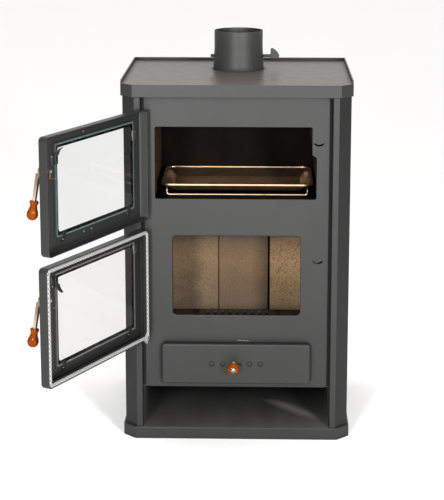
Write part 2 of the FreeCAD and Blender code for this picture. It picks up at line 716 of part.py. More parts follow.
def fire_grate():
    """A cast grate: a bordered plate with round-ended slots that let the ash fall."""
    half = GRATE_WIDTH / 2
    front = grate_front()
    outline = rectangle_xy(-half, half, front, front + GRATE_DEPTH, FIREBOX_FLOOR_TOP, GRATE_LIP)
    pitch = (GRATE_WIDTH - 2 * GRATE_BORDER) / GRATE_SLOTS
    y0 = front + GRATE_BORDER
    y1 = front + GRATE_DEPTH - GRATE_BORDER
    slots = []
    for index in range(GRATE_SLOTS):
        x0 = -half + GRATE_BORDER + pitch * index + (pitch - GRATE_SLOT) / 2
        slots.append(rectangle_xy(x0, x0 + GRATE_SLOT, y0, y1, FIREBOX_FLOOR_TOP, GRATE_SLOT_CORNER))
    return plate(outline, UP * GRATE_THICK, slots)


def firebox_side(side):
    """A side plate behind the bricks, folded over their top to hold them."""
    outer = BRICK_OUT + INNER_SHEET
    top = BRICK_TOP + INNER_SHEET
    plan = [(outer, FIREBOX_FLOOR_TOP), (outer, top), (BRICK_OUT - RETAINER, top)]
    points = [Vector(side * x, BRICK_FRONT, z) for x, z in plan]
    if side == RIGHT:
        points = points[::-1]
    return folded_sheet(points, INNER_SHEET, BACKWARD * (FIREBOX_DEPTH + BRICK))


def firebox_back():
    back = BRICK_BACK + BRICK
    return block(-INNER_IN, INNER_IN, back, back + INNER_SHEET, FIREBOX_FLOOR_TOP, BRICK_TOP + INNER_SHEET)


def brick(x0, x1, y0, y1):
    slab = block(x0, x1, y0, y1, FIREBOX_FLOOR_TOP, BRICK_TOP)
    return slab.makeChamfer(BRICK_BEVEL, slab.Edges)


def side_brick(side):
    return brick(side * BRICK_IN, side * BRICK_OUT, BRICK_FRONT, BRICK_BACK)


def back_bricks():
    """Three upright slabs across the back of the fire, left to right."""
    spans = [(-BRICK_OUT, BACK_JOINT_LEFT - JOINT_NARROW / 2)]
    spans.append((BACK_JOINT_LEFT + JOINT_NARROW / 2, BACK_JOINT_RIGHT - JOINT_WIDE / 2))
    spans.append((BACK_JOINT_RIGHT + JOINT_WIDE / 2, BRICK_OUT))
    return [brick(x0, x1, BRICK_BACK, BRICK_BACK + BRICK) for x0, x1 in spans]


def oven_floor():
    back = OVEN_BACK + OVEN_SHEET
    return block(-INNER_IN, INNER_IN, FRONT_BACK, back, OVEN_FLOOR_TOP - INNER_SHEET, OVEN_FLOOR_TOP)


def oven_left_wall():
    outer = OVEN_WALL_LEFT - OVEN_SHEET
    return block(outer, OVEN_WALL_LEFT, FRONT_BACK, OVEN_BACK, OVEN_FLOOR_TOP, OVEN_ROOF)


def oven_right_wall():
    """Steps in above the tray, as the oven opening does, to leave room for the latch."""
    low = OVEN_RIGHT + OVEN_SHEET
    high = low - OVEN_STEP_OUT
    plan = [(low, OVEN_FLOOR_TOP), (low, OVEN_STEP_LOW), (high, OVEN_STEP_HIGH), (high, OVEN_ROOF)]
    points = [Vector(x, FRONT_BACK, z) for x, z in plan]
    return folded_sheet(points, OVEN_SHEET, BACKWARD * OVEN_DEPTH)


def oven_back():
    right = OVEN_RIGHT + 2 * OVEN_SHEET
    left = OVEN_WALL_LEFT - OVEN_SHEET
    return block(left, right, OVEN_BACK, OVEN_BACK + OVEN_SHEET, OVEN_FLOOR_TOP, OVEN_ROOF)


def oven_roof():
    right = OVEN_RIGHT + 2 * OVEN_SHEET
    left = OVEN_WALL_LEFT - OVEN_SHEET
    return block(left, right, FRONT_BACK, OVEN_BACK + OVEN_SHEET, OVEN_ROOF, OVEN_ROOF + OVEN_SHEET)


def swing(shape, angle):
    """Turns a piece of a closed door about the hinge pins to where the door stands open."""
    shape.rotate(Vector(HINGE_X, HINGE_Y, 0), UP, -angle)
    return shape


def door_pan(door):
    """A pressed door: rounded face, rim to the back, window and spindle hole."""
    pan = pressed_pan(-DOOR_X, DOOR_X, door.bottom, door.top, DOOR_FRONT, DOOR_BACK,
                      DOOR_CORNER, DOOR_EDGE_ROUND, DOOR_SHEET)
    window = rectangle_xz(WINDOW_LEFT, WINDOW_RIGHT, door.window_bottom, door.window_top,
                          DOOR_FRONT, WINDOW_CORNER)
    pan = pan.cut(plate(window, BACKWARD * DOOR_SHEET))
    bore = SPINDLE_RADIUS + SPINDLE_CLEARANCE
    return pan.cut(rod(bore, spindle_at(door, DOOR_FRONT), BACKWARD, DOOR_SHEET))


def pane_edges(door):
    """Left, right, lower and upper edge of the pane, which laps the window all round."""
    left = WINDOW_LEFT - GLASS_LAP
    right = WINDOW_RIGHT + GLASS_LAP
    return left, right, door.window_bottom - GLASS_LAP, door.window_top + GLASS_LAP


def door_glass(door):
    left, right, low, high = pane_edges(door)
    return plate(rectangle_xz(left, right, low, high, DOOR_INSIDE, GLASS), BACKWARD * GLASS)


def hinge_levels(door):
    return [door.bottom + HINGE_INSET, door.top - HINGE_INSET - TUBE_HEIGHT]


def hinge_lugs(door):
    """Two lugs on the front plate, each with an upright pin."""
    lugs = []
    for level in hinge_levels(door):
        under = Vector(HINGE_X, HINGE_Y, level - LUG_THICK)
        nose = rod(LUG_RADIUS, under, UP, LUG_THICK)
        neck = block(HINGE_X - LUG_RADIUS, HINGE_X + LUG_RADIUS, HINGE_Y, FRONT_Y, under.z, level)
        pin = rod(PIN_RADIUS, under, UP, LUG_THICK + TUBE_HEIGHT - PIN_RADIUS)
        lugs.append(fuse([nose, neck, pin]))
    return Part.makeCompound(lugs)


def hinge_tubes(door):
    """Two tubes on leaves at the door's edge, which drop over the pins."""
    tubes = []
    for level in hinge_levels(door):
        foot = Vector(HINGE_X, HINGE_Y, level + REST_GAP)
        tube = rod(TUBE_RADIUS, foot, UP, TUBE_HEIGHT)
        head = foot.z + TUBE_HEIGHT
        leaf = block(HINGE_X, -DOOR_X, HINGE_Y - LEAF / 2, HINGE_Y + LEAF / 2, foot.z, head)
        bore = rod(PIN_RADIUS + PIN_CLEARANCE, foot, UP, TUBE_HEIGHT)
        tubes.append(fuse([tube, leaf]).cut(bore))
    return Part.makeCompound(tubes)


def clip_places(door):
    """Middle of each glass clip on the edge of the pane, and the way it points outward."""
    left, right, low, high = pane_edges(door)
    inset = 2 * CLIP_WIDTH
    return [
        (Vector(right, DOOR_INSIDE, high - inset), Vector(1, 0, 0)),
        (Vector(right - inset, DOOR_INSIDE, low), Vector(0, 0, -1)),
        (Vector(left + inset, DOOR_INSIDE, low), Vector(0, 0, -1)),
        (Vector(left, DOOR_INSIDE, high - inset), Vector(-1, 0, 0)),
    ]


def glass_clips(door):
    """Four bent clips that press the pane against the door face."""
    clips = []
    for place, outward in clip_places(door):
        across = BACKWARD.cross(outward)
        start = place - across * (CLIP_WIDTH / 2) + outward * REST_GAP
        rise = BACKWARD * GLASS
        points = [start + outward * CLIP_FOOT, start, start + rise, start + rise - outward * CLIP_TONGUE]
        clips.append(folded_sheet(points, CLIP_SHEET, across * CLIP_WIDTH, REST_GAP))
    return Part.makeCompound(clips)


def dome(radius, height):
    """The outline of a domed head, from the middle of its crown to its foot."""
    return [(0, 0), (radius * DOME_CROWN, 0), (radius, height * DOME_SIDE), (radius, height)]


def clip_screws(door):
    """A pan-head screw on the foot of each clip."""
    screws = []
    for place, outward in clip_places(door):
        crown = place + outward * (REST_GAP + CLIP_SCREW) + BACKWARD * (CLIP_SHEET + SCREW_HEAD)
        profile = dome(SCREW_RADIUS, SCREW_HEAD) + [(0, SCREW_HEAD)]
        screws.append(turned(profile, crown, BACKWARD * -1))
    return Part.makeCompound(screws)


def rope_line(door, inset, y, radius):
    """An outline that keeps an even distance from the edge of the door."""
    half = DOOR_X - inset
    return rectangle_xz(-half, half, door.bottom + inset, door.top - inset, y, radius)


def rope_y():
    """The rope's middle: it stops just short of the front plate when the door is shut."""
    return FRONT_Y - ROPE_CLEARANCE - ROPE / 2


def rope_channel(door):
    """A groove all round the back of the fire door, for the rope seal."""
    groove = rope_y() - ROPE / 2 - REST_GAP
    inner = DOOR_SHEET + CHANNEL_WIDTH
    floor = groove - CHANNEL_WALL
    depth = BACKWARD * (DOOR_BACK - floor)
    hole = rope_line(door, inner + CHANNEL_WALL, floor, CHANNEL_INNER_CORNER)
    ring = plate(rope_line(door, DOOR_SHEET, floor, CHANNEL_CORNER), depth, [hole])
    island = rope_line(door, inner, groove, CHANNEL_INNER_CORNER + CHANNEL_WALL)
    trench = plate(rope_line(door, 0, groove, DOOR_CORNER), BACKWARD * ROPE, [island])
    return ring.cut(trench)


def rope_seal(door):
    """The rope in its channel, one closed round cord."""
    path = rope_line(door, ROPE_INSET, rope_y(), ROPE_CORNER)
    return round_bar(path.Edges, ROPE / 2)


def lever_face():
    """The outer face of the handle's boss, close to the door."""
    return DOOR_FRONT - BOSS_STANDOFF - BOSS_SHEET


def arm_front():
    return DOOR_BACK - LATCH_ARM_SETBACK


def handle_spindle(door):
    """Domed head outside, a round shank through the door, a thinner stud for the latch arm."""
    head = lever_face() - SPINDLE_HEAD
    shank_end = arm_front() - head
    stud_end = shank_end + LATCH_ARM_SHEET + NUT_HEIGHT
    profile = dome(SPINDLE_HEAD_RADIUS, SPINDLE_HEAD)
    profile += [(SPINDLE_RADIUS, SPINDLE_HEAD), (SPINDLE_RADIUS, shank_end)]
    profile += [(STUD_RADIUS, shank_end), (STUD_RADIUS, stud_end), (0, stud_end)]
    return turned(profile, spindle_at(door, head), BACKWARD)


def latch_claw(door):
    """An arm on the spindle's stud with a finger that enters the slot of the front plate."""
    top = spindle_at(door, arm_front())
    low = top - UP * LATCH_RADIUS
    half = LATCH_ARM_WIDTH / 2
    ends = [rod(half, point, BACKWARD, LATCH_ARM_SHEET) for point in (top, low)]
    web = block(top.x - half, top.x + half, top.y, top.y + LATCH_ARM_SHEET, low.z, top.z)
    finger = rod(LATCH_FINGER / 2, low, BACKWARD, FRONT_BACK + LATCH_PAST - low.y)
    claw = fuse(ends + [web, finger])
    return claw.cut(rod(STUD_RADIUS + SPINDLE_CLEARANCE, top, BACKWARD, LATCH_ARM_SHEET))


def latch_nut(door):
    """A small hexagon nut on the end of the stud."""
    seat = spindle_at(door, arm_front() + LATCH_ARM_SHEET)
    corners = []
    for index in range(6):
        angle = math.radians(60 * index)
        corners.append(seat + Vector(NUT_RADIUS * math.cos(angle), 0, NUT_RADIUS * math.sin(angle)))
    nut = plate(Part.makePolygon(corners + corners[:1]), BACKWARD * NUT_HEIGHT)
    return nut.cut(rod(STUD_RADIUS + SPINDLE_CLEARANCE, seat, BACKWARD, NUT_HEIGHT))


def lever_axis(door):
    """A point level with the spindle on the bar's middle line, and the way it hangs, leaning out."""
    start = spindle_at(door, DOOR_FRONT - LEVER_STANDOFF - LEVER_THICKNESS / 2)
    lean = math.radians(LEVER_LEAN)
    return start, Vector(0, -math.sin(lean), -math.cos(lean))


def handle_lever(door):
    """A boss on the spindle, cranked out to a stout bar that tapers down to the grip."""
    start, along = lever_axis(door)
    boss = rod(LEVER_BOSS, spindle_at(door, lever_face()), BACKWARD, BOSS_SHEET)
    outward = along.cross(RIGHTWARD)
    top = (LEVER_DROP, LEVER_WIDTH, LEVER_THICKNESS)
    end = (LEVER_LENGTH, LEVER_END_WIDTH, LEVER_END_THICKNESS)
    sections = []
    for reach, width, thickness in (top, end):
        centre = start + along * reach
        corners = []
        for right, out in ((-1, -1), (1, -1), (1, 1), (-1, 1)):
            corners.append(centre + RIGHTWARD * (right * width / 2) + outward * (out * thickness / 2))
        sections.append(rounded_outline(corners, LEVER_EDGE))
    bar = Part.makeLoft(sections, True, True)
    half = LEVER_WIDTH / 2
    inside = lever_face() + BOSS_SHEET
    foot = start + along * (LEVER_DROP + LEVER_THICKNESS)
    shank = block(SPINDLE_X - half, SPINDLE_X + half, lever_face(), inside, foot.z, start.z)
    step = block(SPINDLE_X - half, SPINDLE_X + half, foot.y, inside, foot.z, foot.z + BOSS_SHEET)
    lever = fuse([boss, shank, step, bar])
    bore = SPINDLE_RADIUS + SPINDLE_CLEARANCE
    return lever.cut(rod(bore, spindle_at(door, lever_face()), BACKWARD, BOSS_SHEET))


def handle_grip(door):
    """A turned wooden grip: collar, waist and bulb, pushed onto the end of the lever."""
    start, along = lever_axis(door)
    grip = turned(GRIP_PROFILE, start + along * (LEVER_LENGTH - GRIP_SOCKET), along)
    return grip.cut(handle_lever(door))


def air_hole_places():
    return [-AIR_HOLE_FAR, -AIR_HOLE_NEAR, AIR_HOLE_NEAR, AIR_HOLE_FAR]


def drawer_front():
    """A pressed front with four air holes and a slot for the slider's stem."""
    front = pressed_pan(-DRAWER_X, DRAWER_X, DRAWER_BOTTOM, DRAWER_TOP, DRAWER_FRONT, DRAWER_BACK,
                        DRAWER_CORNER, DRAWER_EDGE_ROUND, DRAWER_SHEET)
    for x in air_hole_places():
        middle = Vector(x, DRAWER_FRONT, AIR_HOLE_Z)
        front = front.cut(rod(AIR_HOLE_RADIUS, middle, BACKWARD, DRAWER_SHEET))
    half = STEM_RADIUS + REST_GAP
    x0 = AIR_KNOB_X - half
    x1 = AIR_KNOB_X + AIR_TRAVEL + half
    slot = rectangle_xz(x0, x1, AIR_HOLE_Z - half, AIR_HOLE_Z + half, DRAWER_FRONT, STEM_RADIUS)
    return front.cut(plate(slot, BACKWARD * DRAWER_SHEET))


def drawer_pan():
    """The ash pan: open above, its sides run forward to the drawer front."""
    end = DRAWER_INSIDE + PAN_DEPTH
    inner = PAN_X - PAN_SHEET
    pan = block(-PAN_X, PAN_X, DRAWER_INSIDE, end, PAN_BOTTOM, PAN_TOP)
    pan = pan.cut(block(-inner, inner, FRONT_Y, end - PAN_SHEET, PAN_BOTTOM + PAN_SHEET, PAN_TOP))
    pan = pan.cut(block(-inner, inner, DRAWER_INSIDE, FRONT_Y - PAN_SHEET, PAN_BOTTOM, PAN_TOP))
    low_wall = PAN_BOTTOM + PAN_FRONT_HEIGHT
    return pan.cut(block(-inner, inner, FRONT_Y - PAN_SHEET, FRONT_Y, low_wall, PAN_TOP))


def drawer_runner(side):
    """A hat-shaped rail on the ash floor, under one side of the pan."""
    outer = PAN_X - PAN_SHEET
    inner = outer - RUNNER_WIDTH
    top = PAN_BOTTOM - REST_GAP
    plan = [(inner, FRONT_BOTTOM), (inner, top), (outer, top), (outer, FRONT_BOTTOM)]
    points = [Vector(side * x, FRONT_BACK, z) for x, z in plan]
    if side == LEFT:
        points = points[::-1]
    return folded_sheet(points, PAN_SHEET, BACKWARD * (PAN_DEPTH - DRAWER_PROUD))


def slider_gap():
    """The room between the drawer front and the lips that hold the slider."""
    return SLIDER_SHEET + 2 * REST_GAP


def slider_guides():
    """Two folded strips behind the drawer front that hold the air slider, above and below."""
    guides = []
    length = SLIDER_WIDTH + 2 * AIR_TRAVEL
    for way in (1, -1):
        edge = AIR_HOLE_Z + way * (SLIDER_HEIGHT / 2 + REST_GAP)
        start = Vector(-way * length / 2, DRAWER_INSIDE, edge)
        lip = start + BACKWARD * slider_gap()
        points = [start, lip, lip - UP * (way * GUIDE_LIP)]
        guides.append(folded_sheet(points, PAN_SHEET, RIGHTWARD * (way * length), REST_GAP))
    return Part.makeCompound(guides)


def air_slider():
    """The strip that shuts the air holes, with holes of its own that line up when it slides."""
    y = DRAWER_INSIDE + REST_GAP
    half = SLIDER_HEIGHT / 2
    x0 = AIR_KNOB_X - SLIDER_WIDTH / 2
    x1 = x0 + SLIDER_WIDTH
    outline = rectangle_xz(x0, x1, AIR_HOLE_Z - half, AIR_HOLE_Z + half, y, SLIDER_CORNER)
    holes = []
    for x in air_hole_places():
        middle = Vector(x - AIR_TRAVEL, y, AIR_HOLE_Z)
        holes.append(Part.Wire(Part.makeCircle(SLIDER_HOLE_RADIUS, middle, BACKWARD)))
    return plate(outline, BACKWARD * SLIDER_SHEET, holes)


def air_stem():
    """The slider's stem, with a collar in front of the drawer."""
    seat = DRAWER_INSIDE + REST_GAP
    face = seat - DRAWER_FRONT
    collar = face + STEM_RADIUS / 2
    end = face + STEM_LENGTH + KNOB_LENGTH / 3
    profile = [(0, 0), (STEM_RADIUS, 0), (STEM_RADIUS, collar), (STEM_COLLAR_RADIUS, collar)]
    profile += [(STEM_COLLAR_RADIUS, collar + STEM_COLLAR / 2), (STEM_RADIUS, collar + STEM_COLLAR)]
    profile += [(STEM_RADIUS, end), (0, end)]
    return turned(profile, Vector(AIR_KNOB_X, seat, AIR_HOLE_Z), BACKWARD * -1)


def air_knob():
    """A turned wooden ball with a flat foot, on the stem."""
    middle = KNOB_LENGTH - KNOB_RADIUS
    lowest = math.acos(-middle / KNOB_RADIUS)
    profile = [(0, 0)]
    for index in range(KNOB_TURNS + 1):
        angle = lowest * (1 - index / KNOB_TURNS)
        profile.append((KNOB_RADIUS * math.sin(angle), middle + KNOB_RADIUS * math.cos(angle)))
    foot = Vector(AIR_KNOB_X, DRAWER_FRONT - STEM_LENGTH, AIR_HOLE_Z)
    return turned(profile, foot, BACKWARD * -1).cut(air_stem())


def tray_front():
    return FRONT_BACK + TRAY_SETBACK


def tray_bottom():
    """The tray slides out just over the sill of the oven opening."""
    return OVEN_BOTTOM + TRAY_SILL_GAP


def tray_half():
    return OVEN_RIGHT - TRAY_SIDE_GAP


def tray_outline(inset, z, corner):
    half = tray_half() - inset
    return rectangle_xy(-half, half, tray_front() + inset, tray_front() + TRAY_DEPTH - inset, z, corner)


def roasting_tray():
    """A flared tin with a rolled rim."""
    bottom = tray_bottom()
    rim = bottom + TRAY_RISE
    low_corner = TRAY_CORNER / 2
    foot = tray_outline(TRAY_FLARE, bottom, low_corner)
    outside = Part.makeLoft([foot, tray_outline(0, rim, TRAY_CORNER)], True, True)
    lower = tray_outline(TRAY_FLARE + TRAY_SHEET, bottom + TRAY_SHEET, low_corner - TRAY_SHEET)
    upper = tray_outline(2 * TRAY_SHEET, rim + TRAY_SHEET, TRAY_CORNER - 2 * TRAY_SHEET)
    tin = outside.cut(Part.makeLoft([lower, upper], True, True))
    edge = tray_outline(-TRAY_RIM, rim - TRAY_RIM_HEIGHT / 2, TRAY_CORNER + TRAY_RIM)
    hole = tray_outline(TRAY_SHEET, rim - TRAY_RIM_HEIGHT / 2, TRAY_CORNER - TRAY_SHEET)
    return fuse([tin, plate(edge, UP * TRAY_RIM_HEIGHT, [hole])])


def oven_rack():
    """One closed wire: bars on the oven floor in front and behind, a rail under each tray side."""
    radius = RACK_WIRE / 2
    low = OVEN_FLOOR_TOP + REST_GAP + radius
    slope = math.hypot(TRAY_RISE, TRAY_FLARE)
    reach = radius + REST_GAP
    half = tray_half() - TRAY_FLARE / 2 + reach * TRAY_RISE / slope
    rail = tray_bottom() + TRAY_RISE / 2 - reach * TRAY_FLARE / slope
    front = tray_front() + (TRAY_DEPTH - RACK_DEPTH) / 2
    back = front + RACK_DEPTH
    points = [Vector(0, front, low), Vector(half, front, low), Vector(half, front, rail)]
    points += [Vector(half, back, rail), Vector(half, back, low), Vector(-half, back, low)]
    points += [Vector(-half, back, rail), Vector(-half, front, rail), Vector(-half, front, low)]
    radii = [0] + [RACK_BEND] * (len(points) - 1)
    return round_bar(rounded_path(points, radii, closed=True), radius)


def fixed_pieces():
    """Everything that stays still: casing, top, inner body, oven, firebox, hinge lugs."""
    lugs = [solid for door in DOORS for solid in hinge_lugs(door).Solids]
    return {
        "base_plinth": base_plinth(),
        "left_side_panel": side_panel(LEFT),
        "right_side_panel": side_panel(RIGHT),
        "back_panel": back_panel(),
        "left_store_wall": store_side(LEFT),
        "right_store_wall": store_side(RIGHT),
        "top_plate": top_plate(),
        "hob_ring": hob_ring(),
        "flue_collar": flue_collar(),
        "front_plate": front_plate(),
        "ash_floor": ash_floor(),
        "left_inner_wall": inner_side(LEFT),
        "right_inner_wall": inner_side(RIGHT),
        "inner_back": inner_back(),
        "firebox_floor": firebox_floor(),
        "fire_grate": fire_grate(),
        "firebox_side_plates": Part.makeCompound([firebox_side(LEFT), firebox_side(RIGHT)]),
        "firebox_back": firebox_back(),
        "side_firebricks": Part.makeCompound([side_brick(LEFT), side_brick(RIGHT)]),
        "back_firebricks": Part.makeCompound(back_bricks()),
        "oven_floor": oven_floor(),
        "oven_left_wall": oven_left_wall(),
        "oven_right_wall": oven_right_wall(),
        "oven_back": oven_back(),
        "oven_roof": oven_roof(),
        "oven_rack": oven_rack(),
        "drawer_runners": Part.makeCompound([drawer_runner(LEFT), drawer_runner(RIGHT)]),
        "hinge_lugs": Part.makeCompound(lugs),
    }


def door_pieces(door):
    """One door and its handle, shut, then swung open on the hinge pins."""
    pieces = {
        "door_pan": door_pan(door),
        "door_glass": door_glass(door),
        "hinge_tubes": hinge_tubes(door),
        "glass_clips": glass_clips(door),
        "clip_screws": clip_screws(door),
        "handle_spindle": Part.makeCompound([handle_spindle(door), latch_nut(door)]),
        "handle_lever": handle_lever(door),
        "handle_grip": handle_grip(door),
        "latch_claw": latch_claw(door),
    }
    if door is FIRE_DOOR:
        pieces["rope_channel"] = rope_channel(door)
        pieces["rope_seal"] = rope_seal(door)
    return {door.name + "_" + piece: swing(shape, door.angle) for piece, shape in pieces.items()}


def moving_pieces():
    """Drawer, air slider, damper, hob lid and roasting tray."""
    return {
        "ash_drawer_front": drawer_front(),
        "ash_drawer_pan": drawer_pan(),
        "air_slider_guides": slider_guides(),
        "air_slider_plate": air_slider(),
        "air_stem": air_stem(),
        "air_knob": air_knob(),
        "damper_shaft": damper_shaft(),
        "damper_disc": damper_disc(),
        "damper_key": damper_key(),
        "hob_lid": hob_lid(),
        "roasting_tray": roasting_tray(),
    }


def all_pieces():
    pieces = fixed_pieces()
    for door in DOORS:
        pieces.update(door_pieces(door))
    pieces.update(moving_pieces())
    return pieces


def main():
    os.makedirs("parts", exist_ok=True)
    for node, shape in all_pieces().items():
        solids = shape.Solids
        whole = solids[0] if len(solids) == 1 else Part.makeCompound(solids)
        whole.exportStep(os.path.join("parts", node + ".step"))


if __name__ == "__main__":
    main()
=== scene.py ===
import math
import random
import bpy
import numpy as np
from mathutils import Matrix, Vector


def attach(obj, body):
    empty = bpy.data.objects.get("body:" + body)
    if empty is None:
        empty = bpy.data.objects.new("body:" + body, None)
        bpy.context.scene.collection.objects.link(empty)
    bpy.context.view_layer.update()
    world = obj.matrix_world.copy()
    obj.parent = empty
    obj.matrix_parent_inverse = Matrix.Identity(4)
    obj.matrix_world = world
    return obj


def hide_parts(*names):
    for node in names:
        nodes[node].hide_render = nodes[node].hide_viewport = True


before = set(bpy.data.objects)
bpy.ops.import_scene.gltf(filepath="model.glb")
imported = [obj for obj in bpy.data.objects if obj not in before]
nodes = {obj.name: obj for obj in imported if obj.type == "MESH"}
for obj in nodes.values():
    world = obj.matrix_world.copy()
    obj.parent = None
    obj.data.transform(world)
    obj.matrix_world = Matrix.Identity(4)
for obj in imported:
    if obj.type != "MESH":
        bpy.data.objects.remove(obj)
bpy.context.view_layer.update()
scene = bpy.context.scene
random.seed(7)

FORWARD = Vector((0, -1, 0))
BACKWARD = Vector((0, 1, 0))

# Metres, in the frame of the solids
HINGE = Vector((-0.2226, -0.230, 0.0))
OVEN_ANGLE = math.radians(116)
FIRE_ANGLE = math.radians(117)
DOOR_HALF = 0.217
DOOR_INNER_FACE = -0.239
FIRE_DOOR_BOTTOM = 0.264
FIRE_DOOR_TOP = 0.543
GLASS_LEFT = -0.181
GLASS_RIGHT = 0.158
OVEN_GLASS = (0.600, 0.814)
FIRE_GLASS = (0.297, 0.517)
CLIP_SHEET = 0.0015
CLIP_BEND = 0.0011
CLIP_GAP = 0.0003
CLIP_FOOT = 0.0127
CLIP_STEP = 0.0041
CLIP_TONGUE = 0.0105
SIDE_CLIP_HALF = 0.0125
LOW_CLIP_HALF = 0.008
LOW_CLIP_INSET = 0.028
TAIL_HALF = 0.0068
TAIL_CURL = 1.25
OVEN_PAN_SCREWS = ((0.040, 0.590), (0.008, 0.590), (0.035, 0.823))
ROPE_RADIUS = 0.0045
ROPE_INSET = 0.007
ROPE_CORNER = 0.008
ROPE_Y = -0.2189
ROPE_SPACING = 0.0013
BRAID_PITCH = 0.042
YARNS_EACH_WAY = 4
YARN_RADIUS = 0.0023
YARN_SIDES = 8
YARN_FLATNESS = 0.42
LOOSE_STRANDS = 18
SPINDLE_X = 0.200
OVEN_SPINDLE_Z = 0.761
FIRE_SPINDLE_Z = 0.467
LEVER_Y = -0.2503
LEVER_LEAN = math.radians(11)
GRIP_START = 0.072
KNOB_FOOT = Vector((-0.006, -0.258, 0.198))
KNOB_RADIUS = 0.0145
KNOB_LENGTH = 0.027
AIR_HOLES = (0.033, 0.060)
AIR_HOLE_RADIUS = 0.0068
BACK_JOINTS = (-0.0510, 0.0810)
BACK_BRICKS_END = 0.19
STORE_HALF = 0.236
STORE_FRONT = -0.227
STORE_FLOOR = 0.0294
SCRATCH_Z = 0.2539

# Turned outlines in millimetres: radius, and distance along the axis
GRIP_PROFILE = [
    (8.8, 0.0), (10.0, 1.4), (10.0, 5.6), (8.4, 7.6), (8.2, 10.5), (8.5, 14.0), (9.4, 18.0),
    (10.8, 22.0), (12.2, 26.5), (12.8, 31.0), (12.4, 35.0), (11.0, 38.6), (8.4, 41.8),
    (4.8, 43.9), (0.6, 44.5)]
CAP_PROFILE = [
    (6.4, 0.0), (6.5, 0.5), (6.1, 1.3), (4.9, 2.2), (3.2, 2.8), (1.5, 3.1), (0.05, 3.2)]
SCREW_PROFILE = [
    (3.6, 0.0), (3.6, 0.6), (3.2, 1.4), (2.4, 1.9), (1.5, 1.9), (1.5, 0.8), (0.0006, 0.8)]

# Light, as strengths and watts, and the camera
CEILING = 2.05
WALL = 1.1
SIDES = 0.06
LIT_POINT = Vector((0.0, 0.0, 0.5))
SOFTBOX_SIZE = (0.60, 0.80)
SOFTBOXES = [
    ("left_softbox", (-1.15, -4.65, 1.4), 200.0),
    ("right_softbox", (1.9, -4.4, 1.5), 240.0)]
FLOOR_HALF = 40
CAMERA_PLACE = (0.0653, -3.9793, 1.4494)
CAMERA_TILT = 0.2034
CAMERA_TURN = 0.0267
CAMERA_LENS = 113.82
CAMERA_SHIFT = -0.15


def opened(angle):
    """The turn that takes a shut door to where it stands open."""
    return Matrix.Translation(HINGE) @ Matrix.Rotation(-angle, 4, "Z") @ Matrix.Translation(-HINGE)


class Nodes:
    """Adds nodes to a shader's tree. An axis is 0, 1 or 2, and a span maps one range to another."""

    def __init__(self, tree, coordinates):
        self.tree = tree
        self.place = self.add("ShaderNodeTexCoord").outputs[coordinates]

    def put(self, socket, value):
        if isinstance(value, bpy.types.NodeSocket):
            self.tree.links.new(value, socket)
        elif socket.type == "RGBA" and len(value) == 3:
            socket.default_value = (*value, 1.0)
        else:
            socket.default_value = value

    def add(self, kind, inputs=None, **settings):
        node = self.tree.nodes.new(kind)
        for name, value in settings.items():
            setattr(node, name, value)
        for socket, value in (inputs or {}).items():
            self.put(node.inputs[socket], value)
        return node

    def math(self, operation, first, second=0.0):
        node = self.add("ShaderNodeMath", {0: first, 1: second}, operation=operation)
        return node.outputs[0]

    def vector(self, operation, first, second):
        return self.add("ShaderNodeVectorMath", {0: first, 1: second}, operation=operation).outputs

    def dot(self, first, second):
        return self.vector("DOT_PRODUCT", first, second)["Value"]

    def noise(self, scale, detail=3.0, stretch=None, distortion=0.0, roughness=0.5):
        place = self.vector("MULTIPLY", self.place, stretch)["Vector"] if stretch else self.place
        inputs = {"Vector": place, "Scale": scale, "Detail": detail}
        inputs.update({"Distortion": distortion, "Roughness": roughness})
        return self.add("ShaderNodeTexNoise", inputs).outputs["Fac"]

    def cells(self, scale):
        inputs = {"Vector": self.place, "Scale": scale}
        return self.add("ShaderNodeTexVoronoi", inputs).outputs["Distance"]

    def span(self, value, low, high, start=0.0, end=1.0):
        inputs = {"Value": value, "From Min": low, "From Max": high, "To Min": start, "To Max": end}
        return self.add("ShaderNodeMapRange", inputs).outputs["Result"]

    def mix(self, factor, first, second):
        node = self.add("ShaderNodeMix", {0: factor, 6: first, 7: second}, data_type="RGBA")
        return node.outputs[2]

    def apart(self, first, second):
        return self.math("ABSOLUTE", self.math("SUBTRACT", first, second))

    def along(self, axis):
        return self.add("ShaderNodeSeparateXYZ", {0: self.place}).outputs[axis]

    def band(self, axis, low, high, soft):
        """One between two heights along an axis, fading to nothing outside them."""
        rise = self.span(self.along(axis), low - soft, low)
        return self.math("MULTIPLY", rise, self.span(self.along(axis), high + soft, high))


